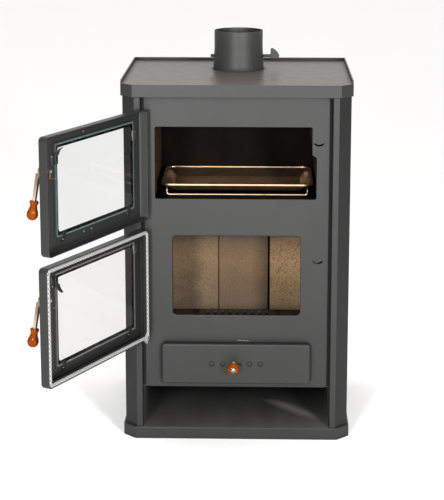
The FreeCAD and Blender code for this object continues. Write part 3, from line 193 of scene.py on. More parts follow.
class Finish(Nodes):
    """A material whose colour, gloss and relief come from noise in the stove's own metres."""

    def __init__(self, name):
        self.material = bpy.data.materials.new(name)
        self.material.use_nodes = True
        super().__init__(self.material.node_tree, "Object")
        self.shader = self.tree.nodes["Principled BSDF"]

    def set(self, **inputs):
        for name, value in inputs.items():
            self.put(self.shader.inputs[name.replace("_", " ")], value)

    def facing(self, direction, low, high):
        """How far the surface faces a way, in the frame of the solids."""
        normal = self.add("ShaderNodeTexCoord").outputs["Normal"]
        return self.span(self.dot(normal, direction), low, high)

    def out_from_hinge(self, angle):
        """How far a point is from the hinge, along a door that stands open at an angle."""
        away = self.vector("SUBTRACT", self.place, tuple(HINGE))["Vector"]
        return self.dot(away, (math.cos(angle), -math.sin(angle), 0.0))

    def edges(self, radius):
        """The surface's normal with its sharp edges rounded, and how far a point is on an edge."""
        soft = self.add("ShaderNodeBevel", {"Radius": radius}, samples=6).outputs[0]
        plain = self.add("ShaderNodeNewGeometry").outputs["Normal"]
        return soft, self.span(self.dot(soft, plain), 0.995, 0.80)

    def crevice(self, reach):
        """One deep in a gap or corner, where dust, soot and shade gather, and nothing in the open.
        """
        node = self.add("ShaderNodeAmbientOcclusion", {"Distance": reach}, samples=8)
        return self.span(node.outputs["AO"], 0.92, 0.45)

    def relief(self, height, distance, normal=None):
        inputs = {"Height": height, "Distance": distance}
        if normal:
            inputs["Normal"] = normal
        return self.add("ShaderNodeBump", inputs).outputs[0]


def shade(colour, factor):
    return tuple(min(1.0, part * factor) for part in colour)


def paint(name, colour, gloss, grain=0.00003, clouds=0.07, wear_and_painted_light=None, crevice_reach=0.016):
    """Heat-proof paint: a fine orange-peel skin, cloudy patches, rubbed edges, a few smudges,
    and dust with painted shade deep in its gaps and corners.

    A paint may also have a place that looks different, from wear or from painted light or shade.
    A function for it gives how far it does, its colour, and how much smoother it is there.
    """
    f = Finish(name)
    cloud = f.noise(6.0, 5.0, distortion=0.4)
    smudge = f.noise(26.0, 6.0, stretch=(1.0, 1.0, 0.6), distortion=0.8)
    speckle = f.noise(1500.0, 2.0)
    peel = f.noise(520.0, 2.0)
    soft, edge = f.edges(0.0012)
    tone = f.mix(f.span(cloud, 0.3, 0.7), shade(colour, 1 - clouds), shade(colour, 1 + clouds))
    tone = f.mix(f.span(speckle, 0.60, 0.80, 0.0, 0.35), tone, shade(colour, 1.9))
    rub = f.math("MULTIPLY", edge, f.span(smudge, 0.35, 0.7, 0.0875, 0.35))
    tone = f.mix(rub, tone, shade(colour, 3.2))
    # Dust and painted shade: the paint darkens deep in gaps and corners.
    dust_and_shade = f.crevice(crevice_reach)
    tone = f.mix(dust_and_shade, tone, shade(colour, 0.35))
    rough = f.span(smudge, 0.3, 0.7, gloss + clouds / 2, gloss - clouds / 2)
    rough = f.math("ADD", rough, f.math("MULTIPLY", dust_and_shade, 0.4))
    if wear_and_painted_light:
        area, mark_colour, polish = wear_and_painted_light(f)
        tone = f.mix(area, tone, mark_colour)
        rough = f.math("SUBTRACT", rough, f.math("MULTIPLY", area, polish))
    f.set(Base_Color=tone, Roughness=rough, Specular_IOR_Level=0.32)
    height = f.math("ADD", peel, f.math("MULTIPLY", speckle, 0.5))
    if wear_and_painted_light:
        height = f.math("MULTIPLY", height, f.span(area, 0.0, 1.0, 1.0, 0.3))
    f.set(Normal=f.relief(height, grain, soft))
    return f.material


def store_floor(f):
    """The floor of the wood store, rubbed down to the steel by logs, with a painted highlight.

    Painted shade makes it darker towards the back.
    """
    area = f.band(0, -STORE_HALF, STORE_HALF, 0.004)
    area = f.math("MULTIPLY", area, f.band(1, STORE_FRONT, STORE_HALF, 0.003))
    area = f.math("MULTIPLY", area, f.band(2, STORE_FLOOR, 0.05, 0.0004))
    rubbed = f.noise(7.0, 5.0, stretch=(1.0, 0.3, 1.0), distortion=0.6)
    mark_colour = f.mix(f.span(rubbed, 0.3, 0.7), (0.050, 0.049, 0.047), (0.085, 0.084, 0.081))
    # Painted shade: darker towards the back.
    deep = f.span(f.along(1), -0.16, 0.06, 0.0, 0.92)
    mark_colour = f.mix(deep, mark_colour, (0.006, 0.0059, 0.0056))
    # Painted highlight: a pale band along a diagonal across the floor.
    diagonal = f.dot(f.place, (0.77, 0.64, 0.0))
    painted_highlight = f.span(f.apart(diagonal, 0.054), 0.028, 0.0)
    painted_highlight = f.math("MULTIPLY", painted_highlight, f.band(1, -0.12, -0.06, 0.05))
    return area, f.mix(f.math("MULTIPLY", painted_highlight, 0.7), mark_colour, (0.21, 0.206, 0.195)), 0.0


def store_wall(f):
    """The walls of the wood store, paler near the front: scuffed down to the steel, and painted
    light.
    """
    scuffs = f.noise(55.0, 6.0, stretch=(1.0, 0.35, 1.0), distortion=0.7)
    nicks = f.noise(420.0, 3.0)
    mark_colour = f.mix(f.span(nicks, 0.55, 0.72), (0.060, 0.059, 0.056), (0.20, 0.198, 0.19))
    area = f.math("MULTIPLY", f.band(1, -0.30, -0.15, 0.13), f.span(scuffs, 0.25, 0.60, 0.35, 0.95))
    return area, mark_colour, 0.05


def air_holes(f):
    """Painted shade in a ring round the air holes of the ash drawer."""
    beside = f.math("ABSOLUTE", f.along(0))
    sideways = f.math("MINIMUM", f.apart(beside, AIR_HOLES[0]), f.apart(beside, AIR_HOLES[1]))
    above = f.math("SUBTRACT", f.along(2), KNOB_FOOT.z)
    square = f.math("ADD", f.math("POWER", sideways, 2.0), f.math("POWER", above, 2.0))
    area = f.span(f.math("SQRT", square), AIR_HOLE_RADIUS + 0.0012, AIR_HOLE_RADIUS)
    return area, (0.0015, 0.0015, 0.0014), -0.35


def hinge_flange(f):
    """The inside of the oven door's flange by the hinge, made paler by painted light."""
    towards_edge = f.facing((math.cos(OVEN_ANGLE), -math.sin(OVEN_ANGLE), 0.0), 0.6, 0.9)
    by_hinge = f.span(f.out_from_hinge(OVEN_ANGLE), 0.014, 0.010)
    return f.math("MULTIPLY", towards_edge, by_hinge), (0.030, 0.030, 0.029), 0.0


def cut_corners(f):
    """The cut front corners of the casing, darkened for the shade in the photograph."""
    left = f.facing((-0.7071, -0.7071, 0.0), 0.90, 0.98)
    right = f.facing((0.7071, -0.7071, 0.0), 0.90, 0.98)
    return f.math("MULTIPLY", f.math("MAXIMUM", left, right), 0.85), (0.002, 0.002, 0.0019), -0.08


def drawer_scratch(f):
    """A short, broken pale line that the drawer has rubbed into the front plate."""
    level = f.math("ADD", f.along(2), f.math("MULTIPLY", f.along(0), 0.03))
    level = f.math("ADD", level, f.math("MULTIPLY", f.noise(140.0, 3.0), 0.0012))
    area = f.span(f.apart(level, SCRATCH_Z), 0.0010, 0.0003)
    area = f.math("MULTIPLY", area, f.band(0, 0.004, 0.031, 0.002))
    area = f.math("MULTIPLY", area, f.span(f.along(1), -0.2130, -0.2136))
    area = f.math("MULTIPLY", area, f.span(f.noise(420.0, 2.0), 0.38, 0.55))
    return area, (0.22, 0.215, 0.20), 0.0


def dull_inside(f):
    """The inner side of the back panel, dull, and darkened for the shade in the photograph."""
    return f.facing((0.0, -1.0, 0.0), 0.5, 0.9), (0.004, 0.0039, 0.0037), -0.35


def plate_top(f):
    """The upper side of the cooking plate, made paler and warmer by painted light."""
    return f.facing((0.0, 0.0, 1.0), 0.5, 0.9), (0.078, 0.071, 0.062), 0.03


def sooty_steel(name, colour, tint, gloss, sheen=0.25):
    """Bare sheet that the fire has blued, browned and dusted with ash."""
    f = Finish(name)
    stain = f.noise(9.0, 6.0, distortion=1.2)
    drip = f.noise(30.0, 5.0, stretch=(1.0, 1.0, 0.25))
    fine = f.noise(900.0, 3.0)
    soft, edge = f.edges(0.001)
    tone = f.mix(f.span(stain, 0.35, 0.7), colour, tint)
    tone = f.mix(f.span(drip, 0.5, 0.75, 0.0, 0.4), tone, shade(colour, 0.5))
    tone = f.mix(f.math("MULTIPLY", edge, 0.3), tone, shade(tint, 2.0))
    # Dust and painted shade: darker deep in gaps and corners.
    tone = f.mix(f.crevice(0.012), tone, shade(colour, 0.2))
    f.set(Base_Color=tone, Roughness=f.span(stain, 0.3, 0.7, gloss, gloss + 0.15))
    f.set(Specular_IOR_Level=sheen)
    f.set(Normal=f.relief(f.math("ADD", fine, drip), 0.00006, soft))
    return f.material


def fireclay(name):
    """Pressed fireclay: sandy grain, small pits, pale chamotte specks, darker low down and high up.

    The middle brick at the back is browner, from heat and from painted firelight, and the one on
    its right is paler from painted light.
    """
    f = Finish(name)
    clay = (0.185, 0.118, 0.058)
    cloud = f.noise(14.0, 5.0, distortion=0.5)
    sand = f.noise(700.0, 4.0)
    grain = f.noise(210.0, 5.0, roughness=0.7)
    pits = f.cells(260.0)
    specks = f.cells(420.0)
    tone = f.mix(f.span(cloud, 0.3, 0.7), shade(clay, 0.84), shade(clay, 1.12))
    # The middle back brick: browner, from heat and from painted firelight.
    middle = f.band(0, *BACK_JOINTS, 0.002)
    browner = f.math("MULTIPLY", middle, f.span(cloud, 0.3, 0.7, 0.35, 0.65))
    tone = f.mix(browner, tone, (0.085, 0.042, 0.016))
    # The right back brick: paler, from painted light.
    tone = f.mix(f.band(0, BACK_JOINTS[1], BACK_BRICKS_END, 0.002), tone, shade(clay, 2.1))
    tone = f.mix(f.span(grain, 0.45, 0.62, 0.0, 0.72), tone, shade(clay, 0.42))
    tone = f.mix(f.span(specks, 0.16, 0.08, 0.0, 0.6), tone, (0.27, 0.20, 0.13))
    tone = f.mix(f.span(pits, 0.14, 0.05, 0.0, 0.7), tone, shade(clay, 0.35))
    low = f.math("ADD", f.along(2), f.math("MULTIPLY", cloud, 0.16))
    tone = f.mix(f.math("MULTIPLY", f.span(low, 0.50, 0.34), 0.55), tone, (0.035, 0.029, 0.025))
    high = f.math("ADD", f.along(2), f.math("MULTIPLY", cloud, 0.03))
    tone = f.mix(f.span(high, 0.405, 0.480, 0.0, 0.8), tone, (0.030, 0.022, 0.015))
    soft, edge = f.edges(0.002)
    tone = f.mix(f.math("MULTIPLY", edge, 0.35), tone, shade(clay, 0.5))
    f.set(Base_Color=tone, Roughness=0.92)
    height = f.math("ADD", f.math("MULTIPLY", sand, 0.6), f.span(pits, 0.02, 0.16))
    f.set(Normal=f.relief(height, 0.0005, soft))
    return f.material


def bare_metal(name, colour, gloss, tarnish=0.5, dark_above=None):
    """Plated metal with fine drawn lines, a little tarnish in patches and brighter edges.

    A lever is also darker and browner towards its spindle, at the height dark_above.
    """
    f = Finish(name)
    lines = f.noise(1800.0, 3.0, stretch=(1.0, 1.0, 0.03))
    patch = f.noise(90.0, 5.0, distortion=0.8)
    soft, edge = f.edges(0.0006)
    tone = f.mix(f.span(patch, 0.4, 0.72, 0.0, tarnish), colour, shade(colour, 0.55))
    tone = f.mix(f.math("MULTIPLY", edge, 0.5), tone, shade(colour, 1.35))
    if dark_above:
        browner = f.span(f.along(2), dark_above - 0.068, dark_above - 0.030, 0.0, 0.9)
        tone = f.mix(browner, tone, (0.23, 0.165, 0.11))
    f.set(Base_Color=tone, Metallic=1.0, Roughness=f.span(patch, 0.3, 0.7, gloss, gloss + 0.14))
    f.set(Normal=f.relief(lines, 0.00002, soft))
    return f.material


def cast(name, colour):
    """Sand-cast iron, lumpy and a little rusty."""
    f = Finish(name)
    lumps = f.noise(160.0, 6.0)
    sand = f.noise(1100.0, 3.0)
    rust = f.noise(40.0, 6.0, distortion=1.0)
    soft, edge = f.edges(0.0015)
    tone = f.mix(f.span(rust, 0.5, 0.75, 0.0, 0.6), colour, (0.09, 0.05, 0.03))
    tone = f.mix(f.math("MULTIPLY", edge, 0.4), tone, shade(colour, 2.5))
    f.set(Base_Color=tone, Roughness=f.span(lumps, 0.3, 0.7, 0.55, 0.8), Metallic=0.25)
    f.set(Normal=f.relief(f.math("ADD", lumps, f.math("MULTIPLY", sand, 0.4)), 0.0004, soft))
    return f.material


def pane(name, tint, rim, angle, heights):
    """Float glass, faintly wiped: clear through its face and deep-coloured at its ground edges."""
    f = Finish(name)
    low, high = heights
    middle = (GLASS_LEFT + GLASS_RIGHT) / 2 - HINGE.x
    half = (GLASS_RIGHT - GLASS_LEFT) / 2
    sideways = f.math("SUBTRACT", half, f.apart(f.out_from_hinge(angle), middle))
    upright = f.math("SUBTRACT", (high - low) / 2, f.apart(f.along(2), (low + high) / 2))
    seam = f.span(f.math("MINIMUM", sideways, upright), 0.0042, 0.0030)
    film = f.noise(14.0, 5.0, distortion=1.5)
    wipe = f.noise(60.0, 5.0, stretch=(1.0, 1.0, 0.2))
    chips = f.noise(900.0, 3.0)
    flat = f.facing((math.sin(angle), math.cos(angle), 0.0), -1.0, 1.0)
    edge = f.math("MAXIMUM", f.span(f.apart(flat, 0.5), 0.35, 0.15), seam)
    clear = f.mix(f.span(film, 0.4, 0.75, 0.0, 0.2), tint, shade(tint, 0.95))
    ground = f.mix(f.span(chips, 0.4, 0.7), rim, shade(rim, 1.6))
    f.set(Base_Color=f.mix(edge, clear, ground))
    f.set(Transmission_Weight=f.span(edge, 0.0, 1.0, 1.0, 0.25))
    smear = f.span(wipe, 0.45, 0.75, 0.0, 0.03)
    f.set(Roughness=f.math("ADD", smear, f.math("MULTIPLY", edge, 0.35)), IOR=1.46)
    return f.material


def lacquered_wood(name):
    """Turned beech under orange-brown lacquer, with the grain along its length."""
    f = Finish(name)
    inputs = {"Vector": f.place, "Scale": 90.0, "Distortion": 6.0}
    inputs.update({"Detail": 3.0, "Detail Scale": 2.0})
    bands = f.add("ShaderNodeTexWave", inputs, bands_direction="DIAGONAL").outputs["Fac"]
    fibre = f.noise(700.0, 4.0, stretch=(1.0, 1.0, 0.06))
    cloud = f.noise(60.0, 3.0)
    tone = f.mix(f.span(bands, 0.2, 0.9), (0.190, 0.034, 0.0008), (0.095, 0.013, 0.0004))
    tone = f.mix(f.span(fibre, 0.5, 0.8, 0.0, 0.5), tone, (0.060, 0.009, 0.0006))
    tone = f.mix(f.span(cloud, 0.45, 0.7, 0.0, 0.4), tone, (0.26, 0.062, 0.0015))
    f.set(Base_Color=tone, Roughness=f.span(cloud, 0.3, 0.7, 0.22, 0.32), Specular_IOR_Level=0.02)
    f.set(Coat_Weight=0.10, Coat_Roughness=0.03)
    f.set(Normal=f.relief(fibre, 0.00002))
    return f.material


def glass_fibre(name):
    """Pale yarn with fine strands, painted shade in the gaps between the yarns, sooty in places."""
    f = Finish(name)
    strand = f.noise(2600.0, 3.0)
    dirt = f.noise(60.0, 5.0, distortion=1.0)
    crown = f.add("ShaderNodeAttribute", attribute_name="crown").outputs["Fac"]
    tone = f.mix(f.span(strand, 0.3, 0.7), (0.30, 0.30, 0.285), (0.43, 0.43, 0.41))
    # Painted shade: dark where a point lies low between the yarns.
    tone = f.mix(f.span(crown, 0.56, 1.0), (0.014, 0.0138, 0.013), tone)
    tone = f.mix(f.span(dirt, 0.58, 0.78, 0.0, 0.45), tone, (0.20, 0.195, 0.185))
    f.set(Base_Color=tone, Roughness=0.75, Normal=f.relief(strand, 0.00012))
    return f.material


CASING = (0.014, 0.014, 0.0136)
LEVER_METAL = (0.66, 0.56, 0.42)
FINISHES = {
    paint("panel_paint", CASING, 0.40, wear_and_painted_light=cut_corners): ["left_side_panel", "right_side_panel"],
    paint("casing_paint", CASING, 0.40): [
        "air_slider_plate", "fire_door_pan", "fire_rope_channel", "hinge_lugs", "oven_hinge_tubes",
        "fire_hinge_tubes"],
    paint("store_paint", CASING, 0.40, wear_and_painted_light=store_wall): ["left_store_wall", "right_store_wall"],
    paint("oven_door_paint", CASING, 0.40, wear_and_painted_light=hinge_flange): ["oven_door_pan"],
    paint("drawer_paint", CASING, 0.40, wear_and_painted_light=air_holes): ["ash_drawer_front"],
    paint("plinth_paint", CASING, 0.40, wear_and_painted_light=store_floor): ["base_plinth"],
    paint("back_paint", CASING, 0.40, wear_and_painted_light=dull_inside): ["back_panel"],
    # A longer crevice reach spreads dust and painted shade round the drawer and other proud parts.
    paint("front_paint", CASING, 0.40, wear_and_painted_light=drawer_scratch, crevice_reach=0.028): ["front_plate"],
    paint("plate_paint", CASING, 0.42, 0.00002, clouds=0.05, wear_and_painted_light=plate_top): [
        "top_plate", "hob_ring", "hob_lid"],
    paint("collar_paint", (0.024, 0.024, 0.0235), 0.50, 0.00005): [
        "flue_collar", "damper_shaft", "damper_disc", "damper_key"],
    paint("shadow_paint", (0.009, 0.009, 0.0088), 0.55): [
        "left_inner_wall", "right_inner_wall", "ash_floor", "firebox_side_plates", "inner_back"],
    sooty_steel("inner_steel", (0.035, 0.032, 0.030), (0.075, 0.060, 0.048), 0.55): [
        "firebox_floor", "firebox_back", "drawer_runners", "air_slider_guides", "ash_drawer_pan"],
    # Painted shade: the oven's floor, back and roof are darkened to near black.
    sooty_steel("oven_steel", (0.0022, 0.0018, 0.0015), (0.006, 0.004, 0.0026), 0.62, 0.03): [
        "oven_floor", "oven_back", "oven_roof"],
    # The oven's side walls are browner, partly heat tint and partly painted warm light.
    sooty_steel("oven_wall_steel", (0.026, 0.014, 0.008), (0.055, 0.031, 0.016), 0.45, 0.15): [
        "oven_left_wall", "oven_right_wall"],
    cast("cast_iron", (0.035, 0.034, 0.033)): ["fire_grate"],
    fireclay("fireclay"): ["side_firebricks", "back_firebricks"],
    pane("oven_glass", (0.955, 0.963, 0.958), (0.032, 0.075, 0.071), OVEN_ANGLE, OVEN_GLASS): [
        "oven_door_glass"],
    pane("fire_glass", (0.953, 0.953, 0.948), (0.075, 0.068, 0.062), FIRE_ANGLE, FIRE_GLASS): [
        "fire_door_glass"],
    bare_metal("zinc", (0.62, 0.61, 0.58), 0.25): [
        "oven_handle_spindle", "fire_handle_spindle", "air_stem"],
    bare_metal("black_screw", (0.10, 0.10, 0.10), 0.30): ["oven_clip_screws", "fire_clip_screws"],
    bare_metal("oven_lever_metal", LEVER_METAL, 0.28, dark_above=OVEN_SPINDLE_Z): [
        "oven_handle_lever"],
    bare_metal("fire_lever_metal", LEVER_METAL, 0.28, dark_above=FIRE_SPINDLE_Z): [
        "fire_handle_lever"],
    bare_metal("brass", (0.32, 0.23, 0.13), 0.36): ["oven_latch_claw", "fire_latch_claw"],
    bare_metal("bright_wire", (0.66, 0.47, 0.31), 0.26, tarnish=0.25): ["oven_rack"],
    bare_metal("tinplate", (0.56, 0.385, 0.25), 0.30, tarnish=0.10): ["roasting_tray"],
}
for finish, names in FINISHES.items():
    for name in names:
        mesh = nodes[name].data
        mesh.materials.clear()
        mesh.materials.append(finish)

clip_black = paint("clip_black", (0.012, 0.012, 0.012), 0.36)
chrome = bare_metal("chrome", (0.28, 0.275, 0.26), 0.15, tarnish=0.2)
clip_grey = bare_metal("clip_grey", (0.13, 0.13, 0.125), 0.50)
wood = lacquered_wood("lacquered_wood")
fibre = glass_fibre("glass_fibre")


def mesh_piece(name, shape, material, body, stands_for, turn=Matrix(), crown=()):
    """A smooth piece that rides on a body. Crown says how high each point is on its yarn."""
    points, faces = shape
    mesh = bpy.data.meshes.new(name)
    mesh.from_pydata([tuple(turn @ point) for point in points], [], faces)
    if len(crown):
        mesh.attributes.new("crown", "FLOAT", "POINT").data.foreach_set("value", crown)
    mesh.polygons.foreach_set("use_smooth", [True] * len(mesh.polygons))
    mesh.materials.append(material)
    mesh.update()
    piece = bpy.data.objects.new(name, mesh)
    scene.collection.objects.link(piece)
    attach(piece, body)
    if stands_for:
        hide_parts(*stands_for)


def smooth_line(points, steps):
    """A flowing line through the points (Catmull-Rom)."""
    line = [np.array(p, float) for p in points]
    line = [2 * line[0] - line[1]] + line + [2 * line[-1] - line[-2]]
    out = []
    for a, b, c, d in zip(line, line[1:], line[2:], line[3:]):
        for step in range(steps):
            t = step / steps
            out.append(0.5 * (2 * b + (c - a) * t + (2 * a - 5 * b + 4 * c - d) * t * t
                              + (3 * b - a - 3 * c + d) * t ** 3))
    out.append(line[-2])
    return out


def metres(profile):
    return [(radius / 1000, reach / 1000) for radius, reach in profile]


def lathe(profile, origin, axis, sides=56):
    """Points and faces of a closed turned piece; a profile is radii and distances on the axis."""
    axis = axis.normalized()
    side = axis.orthogonal().normalized()
    other = axis.cross(side)
    points = [origin + axis * profile[0][1]]
    for radius, reach in profile:
        for k in range(sides):
            angle = 2 * math.pi * k / sides
            spoke = side * math.cos(angle) + other * math.sin(angle)
            points.append(origin + axis * reach + spoke * radius)
    points.append(origin + axis * profile[-1][1])
    faces = []
    for k in range(sides):
        after = (k + 1) % sides
        faces.append((0, 1 + after, 1 + k))
        for ring in range(len(profile) - 1):
            low = 1 + ring * sides
            faces.append((low + k, low + after, low + sides + after, low + sides + k))
        last = 1 + (len(profile) - 1) * sides
        faces.append((last + k, last + after, len(points) - 1))
    return points, faces


def handle_grip(door, spindle_z, angle):
    """The turned wooden grip at the end of a door's lever."""
    along = Vector((0, -math.sin(LEVER_LEAN), -math.cos(LEVER_LEAN)))
    start = Vector((SPINDLE_X, LEVER_Y, spindle_z)) + along * GRIP_START
    shape = lathe(metres(smooth_line(GRIP_PROFILE, 5)), start, along)
    mesh_piece(door + "_turned_grip", shape, wood, door + "_handle", [door + "_handle_grip"],
               opened(angle))


def turned_knob():
    """The wooden ball of the air slider, flat where it meets its stem."""
    rings = 33
    middle = KNOB_LENGTH - KNOB_RADIUS
    widest = math.acos(-middle / KNOB_RADIUS)
    profile = []
    for step in range(rings):
        angle = widest * (1 - step / rings)
        profile.append((KNOB_RADIUS * math.sin(angle), middle + KNOB_RADIUS * math.cos(angle)))
    shape = lathe(profile, KNOB_FOOT, FORWARD)
    mesh_piece("turned_knob", shape, wood, "air_slider", ["air_knob"])


def knob_cap():
    """A domed metal cap let into the front of the knob."""
    profile = metres(CAP_PROFILE)
    sunk = KNOB_RADIUS - math.sqrt(KNOB_RADIUS ** 2 - profile[0][0] ** 2)
    seat = KNOB_FOOT + FORWARD * (KNOB_LENGTH - sunk - 0.0006)
    shape = lathe(profile, seat, FORWARD, 40)
    mesh_piece("knob_cap", shape, chrome, "air_slider", ())


def ribbon(stations, across, thick):
    """Points and faces of a flat bent strip; a station is its middle and its half width."""
    rounding = 0.35
    points = []
    count = len(stations)
    for index, (middle, half) in enumerate(stations):
        ahead = stations[min(index + 1, count - 1)][0] - stations[max(index - 1, 0)][0]
        up = ahead.cross(across).normalized() * (thick / 2)
        wide = across * half
        soft = across * min(half, thick * rounding)
        level = up * (1 - 2 * rounding)
        for offset in (wide - soft + up, wide + level, wide - level, wide - soft - up,
                       -wide + soft - up, -wide - level, -wide + level, -wide + soft + up):
            points.append(middle + offset)
    faces = [tuple(range(7, -1, -1)), tuple(range(8 * count - 8, 8 * count))]
    for ring in range(count - 1):
        for k in range(8):
            after = (k + 1) % 8
            faces.append((8 * ring + k, 8 * ring + after, 8 * ring + 8 + after, 8 * ring + 8 + k))
    return points, faces


def joined(parts):
    """Several pieces' points and faces as one."""
    points = []
    faces = []
    for some, quads in parts:
        faces += [tuple(len(points) + k for k in quad) for quad in quads]
        points += some
    return points, faces


def bent(corners, radius):
    """A path with its corners rounded."""
    steps = 5
    path = [corners[0]]
    for before, corner, after in zip(corners, corners[1:], corners[2:]):
        start = corner + (before - corner).normalized() * radius
        end = corner + (after - corner).normalized() * radius
        for step in range(steps + 1):
            t = step / steps
            path.append(start * (1 - t) ** 2 + corner * (2 * t * (1 - t)) + end * t ** 2)
    return path + [corners[-1]]


def spring_clip(place, outward, half, tail):
    """A clip folded from spring strip: foot on the door, step up the glass's edge, tongue on it.

    A tail of 1 or -1 is a second strip that curls away from the glass to that side.
    """
    across = BACKWARD.cross(outward)
    root = place + outward * (CLIP_GAP + CLIP_SHEET / 2) + BACKWARD * (CLIP_SHEET / 2)
    top = root + BACKWARD * CLIP_STEP
    path = bent([root + outward * CLIP_FOOT, root, top, top - outward * CLIP_TONGUE], CLIP_BEND)
    parts = [ribbon([(point, half) for point in path], across, CLIP_SHEET)]
    if tail:
        steps = 16
        sideways = across * tail
        start = top - outward * 0.0095 + sideways * (half - 0.005)
        stations = []
        for step in range(steps + 1):
            t = step / steps
            curl = TAIL_CURL * t
            reach = sideways * (0.007 * t + 0.011 * math.sin(curl))
            rise = BACKWARD * (0.018 * (1 - math.cos(curl)))
            stations.append((start + (reach + rise), TAIL_HALF * (1 - 0.45 * t ** 3)))
        parts.append(ribbon(stations, outward, CLIP_SHEET))
    return parts


def glass_clips(door, heights, drop, tail, angle):
    """Wide clips on the glass's upright edges, one of them with a tail, and narrow ones under it."""
    low, high = heights
    right, left, down = Vector((1, 0, 0)), Vector((-1, 0, 0)), Vector((0, 0, -1))
    black = [((GLASS_RIGHT, high - drop), right, SIDE_CLIP_HALF, tail)]
    for x in (GLASS_RIGHT - LOW_CLIP_INSET, GLASS_LEFT + LOW_CLIP_INSET):
        black.append(((x, low), down, LOW_CLIP_HALF, 0))
    grey = [((GLASS_LEFT, high - drop), left, SIDE_CLIP_HALF, 0)]
    kinds = [("_spring_clips", black, clip_black), ("_hinge_clip", grey, clip_grey)]
    for name, clips, metal in kinds:
        parts = []
        for (x, z), outward, half, curl in clips:
            parts += spring_clip(Vector((x, DOOR_INNER_FACE, z)), outward, half, curl)
        mesh_piece(door + name, joined(parts), metal, door + "_door", [door + "_glass_clips"],
                   opened(angle))


def pan_screws():
    """Button-head socket screws on the rails of the oven door."""
    parts = []
    for x, z in OVEN_PAN_SCREWS:
        parts.append(lathe(metres(SCREW_PROFILE), Vector((x, DOOR_INNER_FACE, z)), BACKWARD, 20))
    mesh_piece("oven_pan_screws", joined(parts), clip_grey, "oven_door", (),
               opened(OVEN_ANGLE))


def rope_path():
    """How far even points are along the rope, its length, the points, and the way it runs there.

    It starts at the bottom corner by the hinge.
    """
    half = DOOR_HALF - ROPE_INSET
    low = FIRE_DOOR_BOTTOM + ROPE_INSET
    high = FIRE_DOOR_TOP - ROPE_INSET
    line = []
    for x, z, start in [(half, low, -90), (half, high, 0), (-half, high, 90), (-half, low, 180)]:
        cx = x - math.copysign(ROPE_CORNER, x)
        cz = z + (ROPE_CORNER if z == low else -ROPE_CORNER)
        for step in range(13):
            angle = math.radians(start + 90 * step / 12)
            line.append((cx + ROPE_CORNER * math.cos(angle), cz + ROPE_CORNER * math.sin(angle)))
    line = np.array(line[-1:] + line)
    reach = np.concatenate([[0], np.cumsum(np.linalg.norm(np.diff(line, axis=0), axis=1))])
    length = reach[-1]
    at = np.linspace(0, length, int(length / ROPE_SPACING), endpoint=False)
    x = np.interp(at, reach, line[:, 0])
    z = np.interp(at, reach, line[:, 1])
    centre = np.stack([x, np.full(len(at), ROPE_Y), z], 1)
    return at, length, centre, unit(np.roll(centre, -1, 0) - np.roll(centre, 1, 0))


def unit(vectors):
    return vectors / np.linalg.norm(vectors, axis=1)[:, None]


def tube(centre, run, radius, sides, flat, outward, closed=True):
    """Points and faces of a tube along a line, flattened along outward. The radius may change."""
    other = unit(np.cross(run, outward))
    count = len(centre)
    radius = np.broadcast_to(radius, count)[:, None, None]
    turn = np.arange(sides) * 2 * math.pi / sides
    ring = (centre[:, None] + outward[:, None] * radius * (flat * np.cos(turn))[None, :, None]
            + other[:, None] * radius * np.sin(turn)[None, :, None])
    index = np.arange(count * sides).reshape(count, sides)
    after = np.roll(index, -1, 0)
    faces = np.stack([index, np.roll(index, -1, 1), np.roll(after, -1, 1), after], -1)
    faces = [tuple(map(int, quad)) for quad in (faces if closed else faces[:-1]).reshape(-1, 4)]
    if not closed:
        faces += [tuple(map(int, index[0][::-1])), tuple(map(int, index[-1]))]
    return [Vector(point) for point in ring.reshape(-1, 3)], faces


def braided_rope():
    """Yarns both ways that pass over and under each other round a full core, with a frayed join."""
    at, length, centre, run = rope_path()
    back = np.tile(BACKWARD, (len(at), 1))
    side = np.cross(run, back)
    round_trip = 2 * math.pi * at / length
    travel = round(length / BRAID_PITCH) * round_trip
    slack = 0.0002 * np.sin(37 * round_trip) * np.sin(11 * round_trip)
    parts = [tube(centre, run, ROPE_RADIUS - 0.0018, 10, 1.0, back)]
    crown = [0.0] * len(parts[0][0])
    rim = np.cos(np.arange(YARN_SIDES) * 2 * math.pi / YARN_SIDES)
    for way in (1, -1):
        weave = way * np.cos(YARNS_EACH_WAY * travel)
        depth = ROPE_RADIUS - 0.0014 + slack + 0.0006 * weave
        height = np.clip(0.5 + 0.3 * weave[:, None] + 0.3 * rim[None], 0, 1).ravel()
        for yarn in range(YARNS_EACH_WAY):
            angle = way * (travel + yarn * 2 * math.pi / YARNS_EACH_WAY)
            outward = back * np.cos(angle)[:, None] + side * np.sin(angle)[:, None]
            middle = centre + outward * depth[:, None]
            heading = unit(np.roll(middle, -1, 0) - np.roll(middle, 1, 0))
            parts.append(tube(middle, heading, YARN_RADIUS, YARN_SIDES, YARN_FLATNESS, outward))
            crown += list(height)
    for strand in frayed_end(centre[0]):
        parts.append(strand)
        crown += [1.0] * len(strand[0])
    mesh_piece("braided_rope", joined(parts), fibre, "fire_door", ["fire_rope_seal"],
               opened(FIRE_ANGLE), crown)


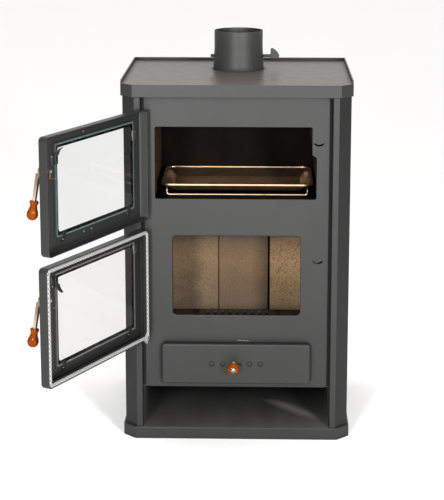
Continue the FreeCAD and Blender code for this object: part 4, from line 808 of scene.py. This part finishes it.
def frayed_end(corner):
    """Loose strands, spread in the door's plane, at the corner where the rope's ends meet."""
    strands = []
    t = np.linspace(0, 1, 9)[:, None]
    for index in range(LOOSE_STRANDS):
        fan = 2 * math.pi * index / LOOSE_STRANDS + random.uniform(-0.12, 0.12)
        lift = random.uniform(0.0024, 0.0040)
        reach = random.uniform(0.007, 0.014)
        way = np.array([math.cos(fan), 0.0, math.sin(fan)])
        droop = np.array([random.uniform(-0.3, 0.3), 0.0, random.uniform(-0.9, -0.2)]) * 0.004
        line = corner + way * (0.0022 + reach * t) + droop * t ** 2
        line = line + np.array([0.0, lift, 0.0]) * np.sqrt(t)
        heading = unit(np.gradient(line, axis=0))
        across = unit(np.cross(heading, [0.3, 0.2, 0.9]))
        radius = 0.0008 * (1.0 - 0.6 * t[:, 0])
        strands.append(tube(line, heading, radius, 6, 0.7, across, closed=False))
    return strands


handle_grip("oven", OVEN_SPINDLE_Z, OVEN_ANGLE)
handle_grip("fire", FIRE_SPINDLE_Z, FIRE_ANGLE)
turned_knob()
knob_cap()
braided_rope()
glass_clips("oven", OVEN_GLASS, 0.034, -1, OVEN_ANGLE)
glass_clips("fire", FIRE_GLASS, 0.018, 1, FIRE_ANGLE)
pan_screws()


def studio():
    """A pale floor, a bright ceiling, a pale wall behind, dark sides and two softboxes in front."""
    floor = bpy.data.meshes.new("floor")
    corners = [(-1, -1, 0), (1, -1, 0), (1, 1, 0), (-1, 1, 0)]
    floor.from_pydata([Vector(corner) * FLOOR_HALF for corner in corners], [], [(0, 1, 2, 3)])
    ground = Finish("floor")
    tone = ground.mix(ground.noise(2.0, 3.0), (0.88, 0.88, 0.88), (0.90, 0.90, 0.90))
    ground.set(Base_Color=tone, Roughness=0.95)
    floor.materials.append(ground.material)
    plane = bpy.data.objects.new("floor", floor)
    scene.collection.objects.link(plane)
    world = bpy.data.worlds.new("studio")
    world.use_nodes = True
    scene.world = world
    room = Nodes(world.node_tree, "Generated")
    ceiling = room.span(room.along(2), 0.50, 0.95, 0.0, CEILING)
    wall = room.span(room.along(1), 0.45, 0.95, 0.0, WALL)
    background = world.node_tree.nodes["Background"]
    strength = room.math("ADD", room.math("MAXIMUM", ceiling, wall), SIDES)
    room.put(background.inputs["Strength"], strength)
    room.put(background.inputs["Color"], (1.0, 0.99, 0.98))
    for name, place, power in SOFTBOXES:
        lamp = bpy.data.lights.new(name, "AREA")
        lamp.shape = "RECTANGLE"
        lamp.size, lamp.size_y = SOFTBOX_SIZE
        lamp.energy = power
        box = bpy.data.objects.new(name, lamp)
        box.location = place
        box.rotation_euler = (LIT_POINT - Vector(place)).to_track_quat("-Z", "Y").to_euler()
        box.visible_camera = False
        scene.collection.objects.link(box)


def photographer():
    """The camera, where the photograph was taken from."""
    lens = bpy.data.cameras.new("camera")
    lens.lens = CAMERA_LENS
    lens.sensor_width = 36.0
    lens.shift_y = CAMERA_SHIFT
    lens.clip_end = 200.0
    camera = bpy.data.objects.new("camera", lens)
    camera.location = CAMERA_PLACE
    camera.rotation_euler = (math.pi / 2 - CAMERA_TILT, 0.0, CAMERA_TURN)
    scene.collection.objects.link(camera)
    scene.camera = camera


studio()
photographer()
scene.view_settings.view_transform = "Standard"

bpy.context.view_layer.update()
